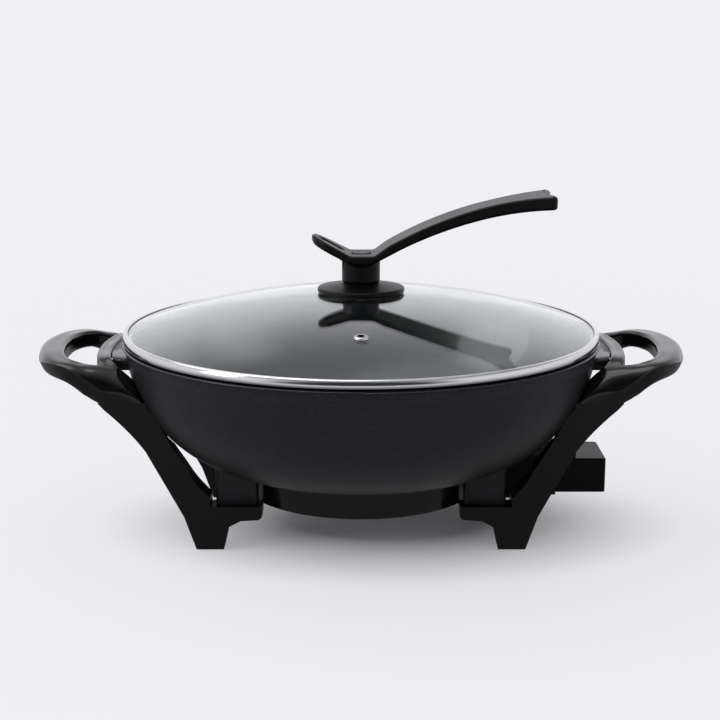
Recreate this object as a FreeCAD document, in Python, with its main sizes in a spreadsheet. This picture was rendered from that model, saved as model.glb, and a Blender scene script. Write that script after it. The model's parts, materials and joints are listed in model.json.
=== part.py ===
import FreeCAD, Part
import math
import os
import Sketcher

# Electric wok: a die-cast bowl on four moulded legs, with two loop grips, a domed glass lid that
# lifts off by a long curved handle, and a plug-in thermostat controller on the right.
# Millimetres. +Z is up, +X is towards the controller, the user stands on the -Y side, and the
# origin is on the table under the middle of the bowl.

SIZES = (
    # bowl
    ("flange_radius", 181.0, "outside radius of the bowl's flange"),
    ("flange_top", 149.3, "height of the flange's top face"),
    ("flange_thickness", 3.3, "thickness of the flange"),
    ("neck_radius", 178.3, "radius of the plain band under the flange"),
    ("neck_height", 9.0, "depth of the plain band under the flange"),
    ("bowl_bottom", 51.2, "height of the bowl's underside"),
    ("bowl_floor_radius", 80.0, "radius of the flat underside"),
    ("bowl_side_radius", 98.0, "radius of the curved side, outside"),
    ("bowl_wall", 3.6, "wall of the curved side"),
    ("bowl_floor", 5.0, "thickness of the floor"),
    ("floor_ring_radius", 70.0, "radius of the step in the cooking floor"),
    ("floor_ring_depth", 0.8, "depth of the step in the cooking floor"),
    ("small_round", 1.2, "rounding of cast and moulded edges"),
    ("seat_gap", 0.3, "clearance between curved faces that meet"),
    # lid
    ("lid_radius", 180.0, "outside radius of the lid's rim"),
    ("rim_height", 5.9, "height of the rolled rim"),
    ("rim_metal", 0.6, "thickness of the rim's sheet"),
    ("rim_lip_radius", 176.0, "inner radius of the rim's upper lip"),
    ("rim_skirt_radius", 173.0, "outside radius of the skirt inside the bowl"),
    ("rim_skirt_depth", 4.4, "depth of the skirt inside the bowl"),
    ("glass_radius", 178.2, "radius of the glass"),
    ("glass_thickness", 3.6, "thickness of the glass"),
    ("glass_rise", 28.4, "rise of the dome over its edge"),
    ("vent_distance", 117.0, "distance of the steam vent from the middle"),
    ("vent_radius", 5.0, "outside radius of the vent's eyelet"),
    ("vent_bore", 2.4, "bore of the vent's eyelet"),
    ("vent_barrel", 3.0, "barrel radius of the vent's eyelet"),
    ("knob_radius", 33.0, "radius of the disc under the lid handle"),
    ("knob_height", 6.0, "height of the disc under the lid handle"),
    ("knob_seal_thickness", 0.9, "thickness of the washer under the disc"),
    ("knob_seal_radius", 28.0, "radius of the washer under the disc"),
    ("stem_radius", 14.4, "radius of the lid handle's stem"),
    ("lid_screw_radius", 2.5, "shank radius of the lid screw"),
    ("arm_seat", 211.5, "height of the flat middle of the handle's top"),
    ("arm_thickness", 9.6, "thickness of the handle"),
    ("arm_tip_reach", 145.0, "reach of the handle's tip from the stem"),
    ("arm_tip_height", 256.8, "height of the handle's tip"),
    ("arm_bow_radius", 293.0, "radius of the bowed handle, top side"),
    ("arm_half_width", 20.5, "half width of the handle's shank"),
    ("arm_tip_half_width", 29.0, "half width of the fishtail"),
    ("arm_notch", 6.0, "depth of the notch in the fishtail"),
    ("tab_reach", 36.0, "reach of the slotted tab behind the stem"),
    ("tab_rise", 14.8, "rise of the slotted tab over the middle"),
    ("slot_length", 18.0, "length of the slot in the tab"),
    ("slot_width", 8.0, "width of the slot in the tab"),
    ("cap_half_length", 7.0, "half length of the plug in the handle's top"),
    # grips and legs
    ("grip_top", 142.0, "height of the grip's top"),
    ("grip_reach", 246.0, "reach of the grip's bowed end from the middle"),
    ("grip_bow_radius", 260.0, "radius of the grip's bowed end"),
    ("grip_corner_radius", 25.0, "radius of the grip's plan corners"),
    ("grip_thickness", 14.0, "thickness of the loop"),
        ("web_gap", 7.0, "gap between the flange and the grip's web"),
    ("web_width", 10.0, "width of the web between the bowl and the finger hole"),
    ("finger_hole_reach", 225.5, "outer edge of the finger hole"),
    ("finger_hole_half_length", 53.0, "half length of the finger hole"),
    ("leg_spread", 70.0, "distance of the legs' outer faces from the middle plane"),
    ("leg_thickness", 18.0, "thickness of a leg"),
    ("leg_wall", 3.4, "wall of the hollow side of a leg"),
    ("seam_height", 110.0, "height of the joint between grip and leg"),
    ("seam_outer", 186.0, "outer end of the joint between grip and leg"),
    ("seam_inner", 155.4, "inner end of the joint between grip and leg"),
    ("foot_outer", 120.3, "outer edge of a foot on the table"),
    ("foot_width", 16.5, "width of a foot on the table"),
    ("foot_lift", 0.8, "height of a leg's end over the table"),
    ("pad_thickness", 2.8, "thickness of a rubber foot pad"),
    ("pad_radius", 5.5, "radius of a rubber foot pad"),
    ("arm_ledge", 33.5, "height of the leg's inner arm, where the bowl's lug stands"),
    ("arm_reach", 72.5, "inner end of the leg's inner arm"),
    ("arm_depth", 10.8, "depth of the leg's inner arm"),
    ("lug_outer", 107.0, "outer edge of a lug under the bowl"),
    ("lug_inner", 76.0, "inner edge of a lug under the bowl"),
    ("lug_spread", 65.0, "distance of a lug's outer face from the middle plane"),
    ("lug_thickness", 14.0, "thickness of a lug"),
    ("lug_screw_reach", 92.0, "distance of a lug's screw from the middle, along X"),
    # heater and stand
    ("ring_radius", 90.5, "outside radius of the stand's ring"),
    ("ring_wall", 3.0, "wall of the stand's ring"),
    ("ring_bottom", 31.0, "height of the ring's lower edge"),
    ("cover_bottom", 33.0, "height of the cover plate's underside"),
    ("cover_thickness", 1.2, "thickness of the cover plate"),
    ("cover_screw_reach", 40.0, "distance of the cover's screws from the middle"),
    ("element_radius", 62.0, "radius of the heating element's ring"),
    ("element_height", 46.8, "height of the element's middle"),
    ("element_tube", 4.0, "radius of the element's tube"),
    ("element_bend", 14.0, "radius of the bends where the element turns out"),
    ("element_groove_gap", 0.15, "clearance of the element in its groove"),
    ("pin_spread", 11.0, "distance of a plug pin from the middle plane"),
    ("pin_radius", 3.0, "radius of a plug pin"),
    ("pin_end", 140.0, "reach of the plug pins"),
    ("tube_end", 104.0, "reach of the element's cold ends"),
    ("probe_radius", 3.0, "radius of the temperature probe"),
    ("probe_depth", 60.0, "inner end of the probe"),
    # socket shroud and controller
    ("case_start", 120.0, "inner end of the controller"),
    ("case_end", 187.0, "outer end of the controller"),
    ("case_half_width", 24.0, "half width of the controller"),
    ("case_bottom", 30.4, "height of the controller's underside"),
    ("case_height", 26.6, "height of the controller"),
    ("case_lid", 4.0, "height of the controller's upper cover"),
    ("case_wall", 2.2, "wall of the controller's case"),
    ("shroud_gap", 0.5, "clearance of the controller in its shroud"),
    ("shroud_wall", 3.0, "wall of the socket shroud"),
    ("shroud_start", 98.0, "inner end of the shroud"),
    ("shroud_mouth", 140.0, "outer end of the shroud's side walls"),
    ("tongue_half_width", 20.0, "half width of the shroud's tongues"),
    ("upper_tongue_end", 164.5, "outer end of the upper tongue"),
    ("lower_tongue_end", 149.5, "outer end of the lower tongue"),
    ("dial_radius", 9.0, "radius of the temperature dial"),
    ("dial_height", 42.5, "height of the dial's axis"),
    ("dial_recess", 6.2, "depth of the recess that holds the dial"),
    ("running_gap", 0.05, "radial clearance of a turning shaft"),
)

doc = FreeCAD.newDocument("ElectricWok")
sheet = doc.addObject("Spreadsheet::Sheet", "Sizes")
for row, (alias, value, meaning) in enumerate(SIZES, 1):
    sheet.set(f"A{row}", meaning)
    sheet.set(f"B{row}", str(value))
    sheet.setAlias(f"B{row}", alias)
doc.recompute()


class Size:
    """A length that carries both its value and the expression it comes from."""

    def __init__(self, value, text):
        self.value = value
        self.text = text

    def __add__(self, other):
        other = as_size(other)
        return Size(self.value + other.value, f"({self.text} + {other.text})")

    def __sub__(self, other):
        other = as_size(other)
        return Size(self.value - other.value, f"({self.text} - {other.text})")

    def __mul__(self, other):
        other = as_size(other)
        return Size(self.value * other.value, f"({self.text} * {other.text})")

    def __truediv__(self, other):
        other = as_size(other)
        return Size(self.value / other.value, f"({self.text} / {other.text})")

    def __radd__(self, other):
        return as_size(other) + self

    def __rsub__(self, other):
        return as_size(other) - self

    def __rmul__(self, other):
        return as_size(other) * self

    def __neg__(self):
        return Size(-self.value, f"(-{self.text})")


def as_size(number):
    return number if isinstance(number, Size) else Size(float(number), f"({number})")


def root(size):
    return Size(math.sqrt(size.value), f"sqrt({size.text})")


def cosine(degrees):
    return Size(math.cos(math.radians(degrees)), f"cos({degrees})")


def sine(degrees):
    return Size(math.sin(math.radians(degrees)), f"sin({degrees})")


def across(radius, distance):
    """Height of a circle of this radius over a chord at this distance."""
    return root(radius * radius - distance * distance)


class Named:
    """The sheet's sizes as attributes."""

    def __init__(self, rows):
        for alias, _, _ in rows:
            setattr(self, alias, Size(float(sheet.get(alias)), f"Sizes.{alias}"))


S = Named(SIZES)
V_AXIS = -2
H_AXIS = -1
START = 1
END = 2
CENTRE = 3


class Piece:
    """One moulded, cast, pressed or turned piece, shaped feature by feature."""

    def __init__(self, label):
        self.body = doc.addObject("PartDesign::Body", label)
        self.body.Label = label
        self.planes = {datum.Role: datum for datum in self.body.Origin.OriginFeatures}

    def sketch(self, plane, at=None):
        """A sketch on an origin plane, or this far along that plane's global axis."""
        sketch = self.body.newObject("Sketcher::SketchObject", "sketch")
        sketch.AttachmentSupport = [(self.planes[plane], "")]
        sketch.MapMode = "FlatFace"
        if at is not None:
            offset = -at if plane == "XZ_Plane" else at
            sketch.setExpression("AttachmentOffset.Base.z", offset.text)
        return sketch

    def feature(self, kind, sketch):
        feature = self.body.newObject("PartDesign::" + kind, kind.lower())
        feature.Profile = sketch
        sketch.Visibility = False
        return feature

    def pad(self, sketch, length, both_ways=False, backwards=False):
        feature = self.feature("Pad", sketch)
        feature.setExpression("Length", length.text)
        feature.SideType = "Symmetric" if both_ways else "One side"
        feature.Reversed = backwards
        return feature

    def pocket(self, sketch, length, both_ways=False, backwards=False):
        feature = self.feature("Pocket", sketch)
        feature.setExpression("Length", length.text)
        feature.SideType = "Symmetric" if both_ways else "One side"
        feature.Reversed = backwards
        return feature

    def revolve(self, sketch, axis="V_Axis"):
        feature = self.feature("Revolution", sketch)
        feature.ReferenceAxis = (sketch, [axis])
        feature.Angle = 360
        return feature

    def groove(self, sketch, axis="V_Axis"):
        feature = self.feature("Groove", sketch)
        feature.ReferenceAxis = (sketch, [axis])
        feature.Angle = 360
        return feature

    def around(self, feature, count):
        """Repeats a feature round the upright axis."""
        pattern = self.body.newObject("PartDesign::PolarPattern", "pattern")
        pattern.Originals = [feature]
        axes = {datum.Role: datum for datum in self.body.Origin.OriginFeatures}
        pattern.Axis = (axes["Z_Axis"], [""])
        pattern.Angle = 360
        pattern.Occurrences = count
        self.body.Tip = pattern
        return pattern

    def round_edges(self, radius, wanted):
        """Fillets the edges of the piece so far that the test picks."""
        doc.recompute()
        last = self.body.Tip
        names = [f"Edge{i}" for i, edge in enumerate(last.Shape.Edges, 1) if wanted(edge)]
        fillet = self.body.newObject("PartDesign::Fillet", "fillet")
        fillet.Base = (last, names)
        fillet.setExpression("Radius", radius.text)
        return fillet

    def place(self, x=None, y=None, z=None, turn=0, tilt=None):
        """Puts the piece in its place; turn is about Z, and tilt about X."""
        placement = FreeCAD.Placement()
        if turn:
            placement.Rotation = FreeCAD.Rotation(FreeCAD.Vector(0, 0, 1), turn)
        if tilt is not None:
            placement.Rotation = FreeCAD.Rotation(FreeCAD.Vector(1, 0, 0), tilt.value)
        self.body.Placement = placement
        if tilt is not None:
            self.body.setExpression("Placement.Rotation.Angle", tilt.text)
        for axis, length in (("x", x), ("y", y), ("z", z)):
            if length is not None:
                self.body.setExpression(f"Placement.Base.{axis}", length.text)


def point(corner):
    return FreeCAD.Vector(as_size(corner[0]).value, as_size(corner[1]).value, 0)


def arc_between(start, end, radius):
    """The short arc between two points; its centre is on the left for a positive radius."""
    chord = end.sub(start)
    half = chord.Length / 2
    side = math.copysign(1, radius)
    height = math.sqrt(max(radius * radius - half * half, 0))
    left = FreeCAD.Vector(-chord.y, chord.x, 0)
    left.normalize()
    middle = start.add(chord.multiply(0.5))
    centre = middle.add(left * (side * height))
    crown = centre.sub(left * (side * abs(radius)))
    return Part.Arc(start, crown, end)


def pin_down(sketch, geometry, vertex, corner, constraints, drives):
    """Ties a vertex to the sketch's origin by the expressions of its two coordinates."""
    for kind, axis, length in (("DistanceX", V_AXIS, corner[0]), ("DistanceY", H_AXIS, corner[1])):
        if isinstance(length, Size):
            drives.append((len(constraints), length.text))
            constraints.append(Sketcher.Constraint(kind, -1, 1, geometry, vertex, length.value))
        else:
            constraints.append(Sketcher.Constraint("PointOnObject", geometry, vertex, axis))


def settle(sketch, constraints, drives):
    """Adds the constraints, and binds the driven ones to the sheet."""
    first = sketch.ConstraintCount
    sketch.addConstraint(constraints)
    for index, text in drives:
        sketch.setExpression(f"Constraints[{first + index}]", text)


def trace(sketch, *corners):
    """A closed outline. A corner is (x, y), or (x, y, radius) where an arc leads to it."""
    first = sketch.GeometryCount
    curves = []
    starts = []
    for index, corner in enumerate(corners):
        before = point(corners[index - 1])
        here = point(corner)
        if len(corner) == 2:
            curves.append(Part.LineSegment(before, here))
            starts.append(START)
            continue
        arc = arc_between(before, here, corner[2].value)
        curves.append(arc)
        flipped = corner[2].value < 0
        starts.append(END if flipped else START)
    sketch.addGeometry(curves, False)
    constraints = []
    drives = []
    for index, corner in enumerate(corners):
        this = first + index
        following = first + (index + 1) % len(corners)
        begin = starts[index]
        finish = END if begin == START else START
        pin_down(sketch, this, finish, corner, constraints, drives)
        next_begin = starts[(index + 1) % len(corners)]
        constraints.append(Sketcher.Constraint("Coincident", this, finish, following, next_begin))
        if len(corner) == 3:
            radius = corner[2] if corner[2].value > 0 else -corner[2]
            drives.append((len(constraints), radius.text))
            constraints.append(Sketcher.Constraint("Radius", this, radius.value))
    settle(sketch, constraints, drives)


def circle(sketch, x, y, radius):
    index = sketch.GeometryCount
    centre = point((x, y))
    sketch.addGeometry([Part.Circle(centre, FreeCAD.Vector(0, 0, 1), radius.value)], False)
    constraints = []
    drives = []
    pin_down(sketch, index, CENTRE, (x, y), constraints, drives)
    drives.append((len(constraints), radius.text))
    constraints.append(Sketcher.Constraint("Radius", index, radius.value))
    settle(sketch, constraints, drives)


def rectangle(sketch, left, bottom, right, top):
    trace(sketch, (left, bottom), (right, bottom), (right, top), (left, top))


# ---------------------------------------------------------------- shared places

bowl_centre = S.bowl_bottom + S.bowl_side_radius
neck_bottom = S.flange_top - S.flange_thickness - S.neck_height
side_top_radius = S.bowl_floor_radius + across(S.bowl_side_radius, bowl_centre - neck_bottom)
inner_radius = S.bowl_side_radius - S.bowl_wall
inner_floor = S.bowl_bottom + S.bowl_floor
inner_centre = inner_floor + inner_radius
flange_bottom = S.flange_top - S.flange_thickness
mouth_radius = S.bowl_floor_radius + across(inner_radius, inner_centre - flange_bottom)
cover_top = S.cover_bottom + S.cover_thickness
web_inner = S.flange_radius + S.web_gap
web_outer = web_inner + S.web_width
leg_inner_face = S.leg_spread - S.leg_thickness
ear_radius = web_inner - S.seat_gap
ear_half_length = Size(45.0, "45")
ear_bottom = S.grip_top - S.grip_thickness + 3
ear_height = S.grip_thickness - 5
grip_screw_spread = ear_half_length - 13
grip_screw_height = ear_bottom + ear_height / 2
grip_screw_radius = Size(2.0, "2")
leg_screw_radius = Size(2.5, "2.5")
lug_screw_spread = S.lug_spread - S.lug_thickness / 2
rim_bottom = S.flange_top + S.seat_gap
rim_top = rim_bottom + S.rim_height
glass_edge_top = rim_top - 1.5
dome_radius = (S.glass_radius * S.glass_radius + S.glass_rise * S.glass_rise) / (S.glass_rise * 2)
dome_top = glass_edge_top + S.glass_rise
dome_centre = dome_top - dome_radius
case_top = S.case_bottom + S.case_height
case_seam = case_top - S.case_lid


def dome_height(radius):
    """Height of the glass's upper face at this distance from the middle."""
    return dome_centre + across(dome_radius, radius)


def bowl_height(radius):
    """Height of the bowl's underside at this distance from the middle."""
    return bowl_centre - across(S.bowl_side_radius, radius - S.bowl_floor_radius)


knob_bottom = dome_top + S.knob_seal_thickness
knob_lip = dome_height(S.knob_seal_radius) + 0.35
stem_bottom = knob_bottom + S.knob_height
arm_belly = S.arm_seat - 7


# ---------------------------------------------------------------- the bowl

def make_pan():
    """The die-cast bowl with its flange, ears, lugs, heater ridge and probe boss."""
    pan = Piece("pan")
    outside = pan.sketch("XZ_Plane")
    trace(outside,
          (0, S.bowl_bottom),
          (S.bowl_floor_radius, S.bowl_bottom),
          (side_top_radius, neck_bottom, S.bowl_side_radius),
          (S.neck_radius, neck_bottom + 1),
          (S.neck_radius, flange_bottom),
          (S.flange_radius, flange_bottom),
          (S.flange_radius, S.flange_top),
          (0, S.flange_top))
    pan.revolve(outside)
    pan.round_edges(S.small_round, lambda edge: is_ring(edge, S.flange_radius))

    lugs = pan.sketch("XY_Plane", S.arm_ledge)
    near = S.lug_spread - S.lug_thickness
    for side in (1, -1):
        for end in (1, -1):
            rectangle(lugs, side * S.lug_inner, end * near, side * S.lug_outer, end * S.lug_spread)
    pan.pad(lugs, S.bowl_bottom - S.arm_ledge + 15)
    pan.round_edges(S.lug_thickness * 0.25, is_lug_corner)

    ears = pan.sketch("XY_Plane", ear_bottom)
    root_reach = S.neck_radius - 10
    ear_corner = across(ear_radius, ear_half_length)
    for side in (1, -1):
        trace(ears,
              (side * root_reach, -side * ear_half_length),
              (side * ear_corner, -side * ear_half_length),
              (side * ear_corner, side * ear_half_length, ear_radius),
              (side * root_reach, side * ear_half_length))
    pan.pad(ears, ear_height)

    ridge = pan.sketch("XY_Plane", ridge_bottom)
    circle(ridge, 0, 0, S.element_radius + ridge_half)
    circle(ridge, 0, 0, S.element_radius - ridge_half)
    pan.pad(ridge, S.bowl_bottom - ridge_bottom + 1)

    boss = pan.sketch("XY_Plane", cover_top)
    circle(boss, 0, S.cover_screw_reach, cover_boss_radius)
    pan.around(pan.pad(boss, S.bowl_bottom - cover_top + 1), 3)

    holders = pan.sketch("XY_Plane", shroud_ear_top)
    for end in (1, -1):
        circle(holders, shroud_screw_reach, end * shroud_screw_spread, shroud_boss_radius)
    pan.pad(holders, S.bowl_bottom - shroud_ear_top + 7)

    inside = pan.sketch("XZ_Plane")
    step_floor = inner_floor - S.floor_ring_depth
    trace(inside,
          (0, step_floor),
          (S.floor_ring_radius, step_floor),
          (S.floor_ring_radius + S.floor_ring_depth, inner_floor),
          (S.bowl_floor_radius, inner_floor),
          (mouth_radius, flange_bottom, inner_radius),
          (mouth_radius, S.flange_top + 1),
          (0, S.flange_top + 1))
    pan.groove(inside)

    opening = pan.sketch("XY_Plane", S.bowl_bottom)
    gap_half = S.pin_spread + S.element_tube + 8
    rectangle(opening, S.element_radius - ridge_half - 8, -gap_half,
              S.element_radius + ridge_half + 6, gap_half)
    pan.pocket(opening, S.bowl_bottom - ridge_bottom + 1)

    probe_boss = pan.sketch("XY_Plane", S.element_height - probe_boss_half)
    rectangle(probe_boss, S.probe_depth - 6, -probe_boss_half, probe_boss_end, probe_boss_half)
    pan.pad(probe_boss, S.bowl_bottom - S.element_height + probe_boss_half + 1)

    channel = pan.sketch("XZ_Plane")
    circle(channel, S.element_radius, S.element_height, S.element_tube + S.element_groove_gap)
    cut_pocketed_ring(pan, channel)

    probe_bore = pan.sketch("YZ_Plane", probe_boss_end + 1)
    circle(probe_bore, 0, S.element_height, S.probe_radius + S.seat_gap)
    pan.pocket(probe_bore, probe_boss_end - S.probe_depth + 2)

    threads = pan.sketch("XY_Plane", S.arm_ledge)
    for side in (1, -1):
        for end in (1, -1):
            circle(threads, side * S.lug_screw_reach, end * lug_screw_spread, leg_screw_radius)
    pan.pocket(threads, lug_thread_depth, backwards=True)

    cover_thread = pan.sketch("XY_Plane", cover_top)
    circle(cover_thread, 0, S.cover_screw_reach, cover_screw_radius)
    pan.around(pan.pocket(cover_thread, cover_thread_depth, backwards=True), 3)

    holder_threads = pan.sketch("XY_Plane", shroud_ear_top)
    for end in (1, -1):
        circle(holder_threads, shroud_screw_reach, end * shroud_screw_spread, cover_screw_radius)
    pan.pocket(holder_threads, shroud_thread_depth, backwards=True)

    for side in (1, -1):
        ear_threads = pan.sketch("YZ_Plane", side * (ear_radius + 1))
        for end in (1, -1):
            circle(ear_threads, end * grip_screw_spread, grip_screw_height, grip_screw_radius)
        pan.pocket(ear_threads, ear_radius + 1 - ear_thread_end, backwards=side < 0)
    return pan


def cut_pocketed_ring(pan, channel):
    """The element's groove follows the ridge all the way round."""
    return pan.groove(channel)


def is_lug_corner(edge):
    box = edge.BoundBox
    upright = is_upright(edge) and abs(box.ZMin - S.arm_ledge.value) < 0.01
    return upright and abs(box.YMin) > S.lug_spread.value - S.lug_thickness.value - 0.01


def is_ring(edge, radius):
    curve = edge.Curve
    return isinstance(curve, Part.Circle) and abs(curve.Radius - radius.value) < 0.01


ridge_half = S.element_tube + 3
ridge_bottom = S.element_height - S.element_tube * 0.6
cover_boss_radius = Size(5.0, "5")
cover_screw_radius = Size(2.0, "2")
cover_thread_depth = Size(10.0, "10")
lug_thread_depth = Size(14.0, "14")
probe_boss_half = S.probe_radius + 3.5
probe_boss_end = S.element_radius + 22
shroud_screw_reach = S.shroud_start + 6
shroud_screw_spread = S.case_half_width + S.shroud_gap + S.shroud_wall + 7.5
shroud_boss_radius = Size(4.5, "4.5")
shroud_ear_thickness = Size(3.2, "3.2")
shroud_ear_top = bowl_height(S.shroud_start) - 4.5
shroud_thread_depth = Size(6.0, "6")
ear_thread_end = S.neck_radius - 2


# ---------------------------------------------------------------- the lid

def make_lid_glass():
    glass = Piece("lid_glass")
    section = glass.sketch("XZ_Plane")
    edge_bottom = glass_edge_top - S.glass_thickness
    under_radius = dome_radius - S.glass_thickness
    under_rise = under_radius - across(under_radius, S.glass_radius)
    trace(section,
          (0, edge_bottom + under_rise),
          (S.glass_radius, edge_bottom, -under_radius),
          (S.glass_radius, glass_edge_top),
          (0, dome_top, dome_radius))
    glass.revolve(section)
    holes = glass.sketch("XY_Plane", dome_top + 1)
    circle(holes, 0, 0, S.lid_screw_radius + 1)
    circle(holes, 0, -S.vent_distance, S.vent_barrel + 0.5)
    glass.pocket(holes, S.glass_rise + S.glass_thickness + 2)
    return glass


def make_lid_rim():
    """The rolled steel rim, with the skirt that drops inside the bowl."""
    rim = Piece("lid_rim")
    section = rim.sketch("XZ_Plane")
    metal = S.rim_metal
    roll = Size(2.0, "2")
    lip_top = rim_top
    skirt_bottom = rim_bottom - S.rim_skirt_depth
    trace(section,
          (S.rim_lip_radius, lip_top),
          (S.rim_lip_radius, lip_top - metal),
          (S.lid_radius - roll, lip_top - metal),
          (S.lid_radius - metal, lip_top - roll, metal - roll),
          (S.lid_radius - metal, rim_bottom + metal),
          (S.rim_skirt_radius - metal, rim_bottom + metal),
          (S.rim_skirt_radius - metal, skirt_bottom),
          (S.rim_skirt_radius, skirt_bottom),
          (S.rim_skirt_radius, rim_bottom),
          (S.lid_radius - metal, rim_bottom),
          (S.lid_radius, rim_bottom + metal, metal),
          (S.lid_radius, lip_top - roll),
          (S.lid_radius - roll, lip_top, roll))
    rim.revolve(section)
    return rim


def make_vent():
    """The plated eyelet of the steam vent, square to the dome where it sits."""
    vent = Piece("lid_vent_grommet")
    section = vent.sketch("XZ_Plane")
    head = Size(1.3, "1.3")
    gap = Size(0.15, "0.15")
    tail = S.glass_thickness + gap + head
    trace(section,
          (S.vent_bore, head + gap),
          (S.vent_bore, -tail),
          (S.vent_radius - 1, -tail),
          (S.vent_radius - 1, gap / 2 - S.glass_thickness - gap),
          (S.vent_barrel, gap / 2 - S.glass_thickness - gap),
          (S.vent_barrel, gap),
          (S.vent_radius, gap),
          (S.vent_radius - 1, head + gap, Size(1.6, "1.6")))
    vent.revolve(section)
    lean = Size(math.degrees(math.asin((S.vent_distance / dome_radius).value)),
                f"asin({(S.vent_distance / dome_radius).text})")
    vent.place(y=-S.vent_distance, z=dome_height(S.vent_distance), tilt=lean)
    return vent


def make_knob_seal():
    seal = Piece("lid_knob_seal")
    section = seal.sketch("XZ_Plane")
    bore = S.lid_screw_radius + 1
    lift = Size(0.1, "0.1")
    trace(section,
          (bore, dome_height(bore) + lift),
          (S.knob_seal_radius, dome_height(S.knob_seal_radius) + lift, -dome_radius),
          (S.knob_seal_radius, knob_bottom),
          (bore, knob_bottom))
    seal.revolve(section)
    return seal


def make_knob_base():
    """The disc under the handle: its lip hides the washer and hangs just over the glass."""
    knob = Piece("lid_knob_base")
    section = knob.sketch("XZ_Plane")
    bore = S.lid_screw_radius + 0.5
    edge = Size(1.8, "1.8")
    lip = S.knob_seal_radius + 0.3
    trace(section,
          (bore, knob_bottom),
          (lip, knob_bottom),
          (lip, knob_lip),
          (S.knob_radius - 1.2, knob_lip),
          (S.knob_radius, knob_lip + 1.2, Size(1.2, "1.2")),
          (S.knob_radius, knob_lip + 2.2),
          (S.knob_radius - edge, knob_lip + 2.2 + edge, edge),
          (S.stem_radius + 1, stem_bottom - 0.5),
          (S.stem_radius + 0.5, stem_bottom),
          (bore, stem_bottom))
    knob.revolve(section)
    return knob


def make_lid_arm():
    """The stem with the long bowed arm, its fishtail tip and its slotted tab."""
    arm = Piece("lid_handle_arm")
    side_view = arm.sketch("XZ_Plane")
    under_bow = S.arm_bow_radius + 4
    tab_tip = S.arm_seat + S.tab_rise
    belly_radius = S.stem_radius * 2
    belly_half = S.stem_radius - 1.4
    belly_edge = arm_belly + 2.9
    bend = Size(6.0, "6")
    trace(side_view,
          (-S.tab_reach + 2.5, tab_tip - S.arm_thickness + 1.2, S.arm_thickness * 0.6),
          (-belly_half, belly_edge),
          (belly_half, belly_edge, belly_radius),
          (S.stem_radius * 2, belly_edge + 8.4),
          (S.arm_tip_reach + 0.6, S.arm_tip_height - S.arm_thickness - 0.2, -under_bow),
          (S.arm_tip_reach, S.arm_tip_height),
          (S.stem_radius + 5.6, S.arm_seat + 7.5, S.arm_bow_radius),
          (S.stem_radius - 3.2, S.arm_seat + 1.1),
          (S.stem_radius - 7, S.arm_seat, -bend),
          (-S.stem_radius + 8.4, S.arm_seat),
          (-S.stem_radius + 4.6, S.arm_seat + 0.9, -bend),
          (-S.tab_reach, tab_tip))
    arm.pad(side_view, S.arm_tip_half_width * 2 + 4, both_ways=True)

    plan = arm.sketch("XY_Plane", S.arm_tip_height + 10)
    far = S.arm_tip_reach + 20
    wide = S.arm_tip_half_width + 12
    flare_start = S.arm_tip_reach - 62
    tab_round = S.arm_half_width - 3
    tip = S.arm_tip_reach - 1
    prong = Size(4.0, "4")
    rectangle(plan, -S.tab_reach - 20, -wide, far, wide)
    trace(plan,
          (-S.tab_reach + tab_round - 1, -tab_round, tab_round),
          (-S.stem_radius + 8, -S.arm_half_width),
          (flare_start, -S.arm_half_width),
          (tip - prong, -S.arm_tip_half_width, -S.arm_tip_reach),
          (tip, -S.arm_tip_half_width + prong, prong),
          (tip, -S.arm_tip_half_width * 0.62),
          (S.arm_tip_reach - S.arm_notch, 0),
          (tip, S.arm_tip_half_width * 0.62),
          (tip, S.arm_tip_half_width - prong),
          (tip - prong, S.arm_tip_half_width, prong),
          (flare_start, S.arm_half_width, -S.arm_tip_reach),
          (-S.stem_radius + 8, S.arm_half_width),
          (-S.tab_reach + tab_round - 1, tab_round),
          (-S.tab_reach - 1, 0, tab_round))
    arm.pocket(plan, S.arm_tip_height - stem_bottom + 20)

    slot = arm.sketch("XY_Plane", S.arm_tip_height + 10)
    half = S.slot_width / 2
    near = -S.stem_radius + 1
    far = near - S.slot_length
    tooth = (S.slot_length - S.slot_width) / 4
    bite = tooth * 0.52
    trace(slot,
          (near - half, half, half * 1.001),
          (far + half, half),
          (far + half, -half, half * 1.001),
          (far + half + tooth, -half, -bite),
          (far + half + tooth * 2, -half, -bite),
          (far + half + tooth * 3, -half, -bite),
          (near - half, -half, -bite))
    arm.pocket(slot, S.arm_tip_height - arm_belly + 20)

    stem = arm.sketch("XY_Plane", stem_bottom)
    circle(stem, 0, 0, S.stem_radius)
    arm.pad(stem, arm_belly - stem_bottom + 4)

    bore = arm.sketch("XY_Plane", stem_bottom)
    circle(bore, 0, 0, insert_radius)
    arm.pocket(bore, insert_length, backwards=True)

    recess = arm.sketch("XY_Plane", S.arm_seat + 4)
    cap_outline(recess, S.seat_gap / 3)
    arm.pocket(recess, cap_depth + 4)
    return arm


def cap_outline(sketch, gap):
    """The plug's outline: a short bar along the handle with rounded ends."""
    half = cap_half_width + gap
    reach = S.cap_half_length - cap_half_width
    trace(sketch,
          (-reach, -half, half * 1.001),
          (reach, -half),
          (reach, half, half * 1.001),
          (-reach, half))


def make_arm_cap():
    cap = Piece("lid_handle_cap")
    outline = cap.sketch("XY_Plane", S.arm_seat - cap_depth)
    cap_outline(outline, -S.seat_gap / 3)
    cap.pad(outline, cap_depth + 0.3)
    return cap


insert_radius = S.lid_screw_radius + 2
insert_length = Size(12.0, "12")
cap_half_width = Size(5.5, "5.5")
cap_depth = Size(2.4, "2.4")


def make_lid_insert():
    insert = Piece("lid_insert")
    outline = insert.sketch("XY_Plane", stem_bottom)
    circle(outline, 0, 0, insert_radius)
    circle(outline, 0, 0, S.lid_screw_radius)
    insert.pad(outline, insert_length)
    return insert


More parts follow.
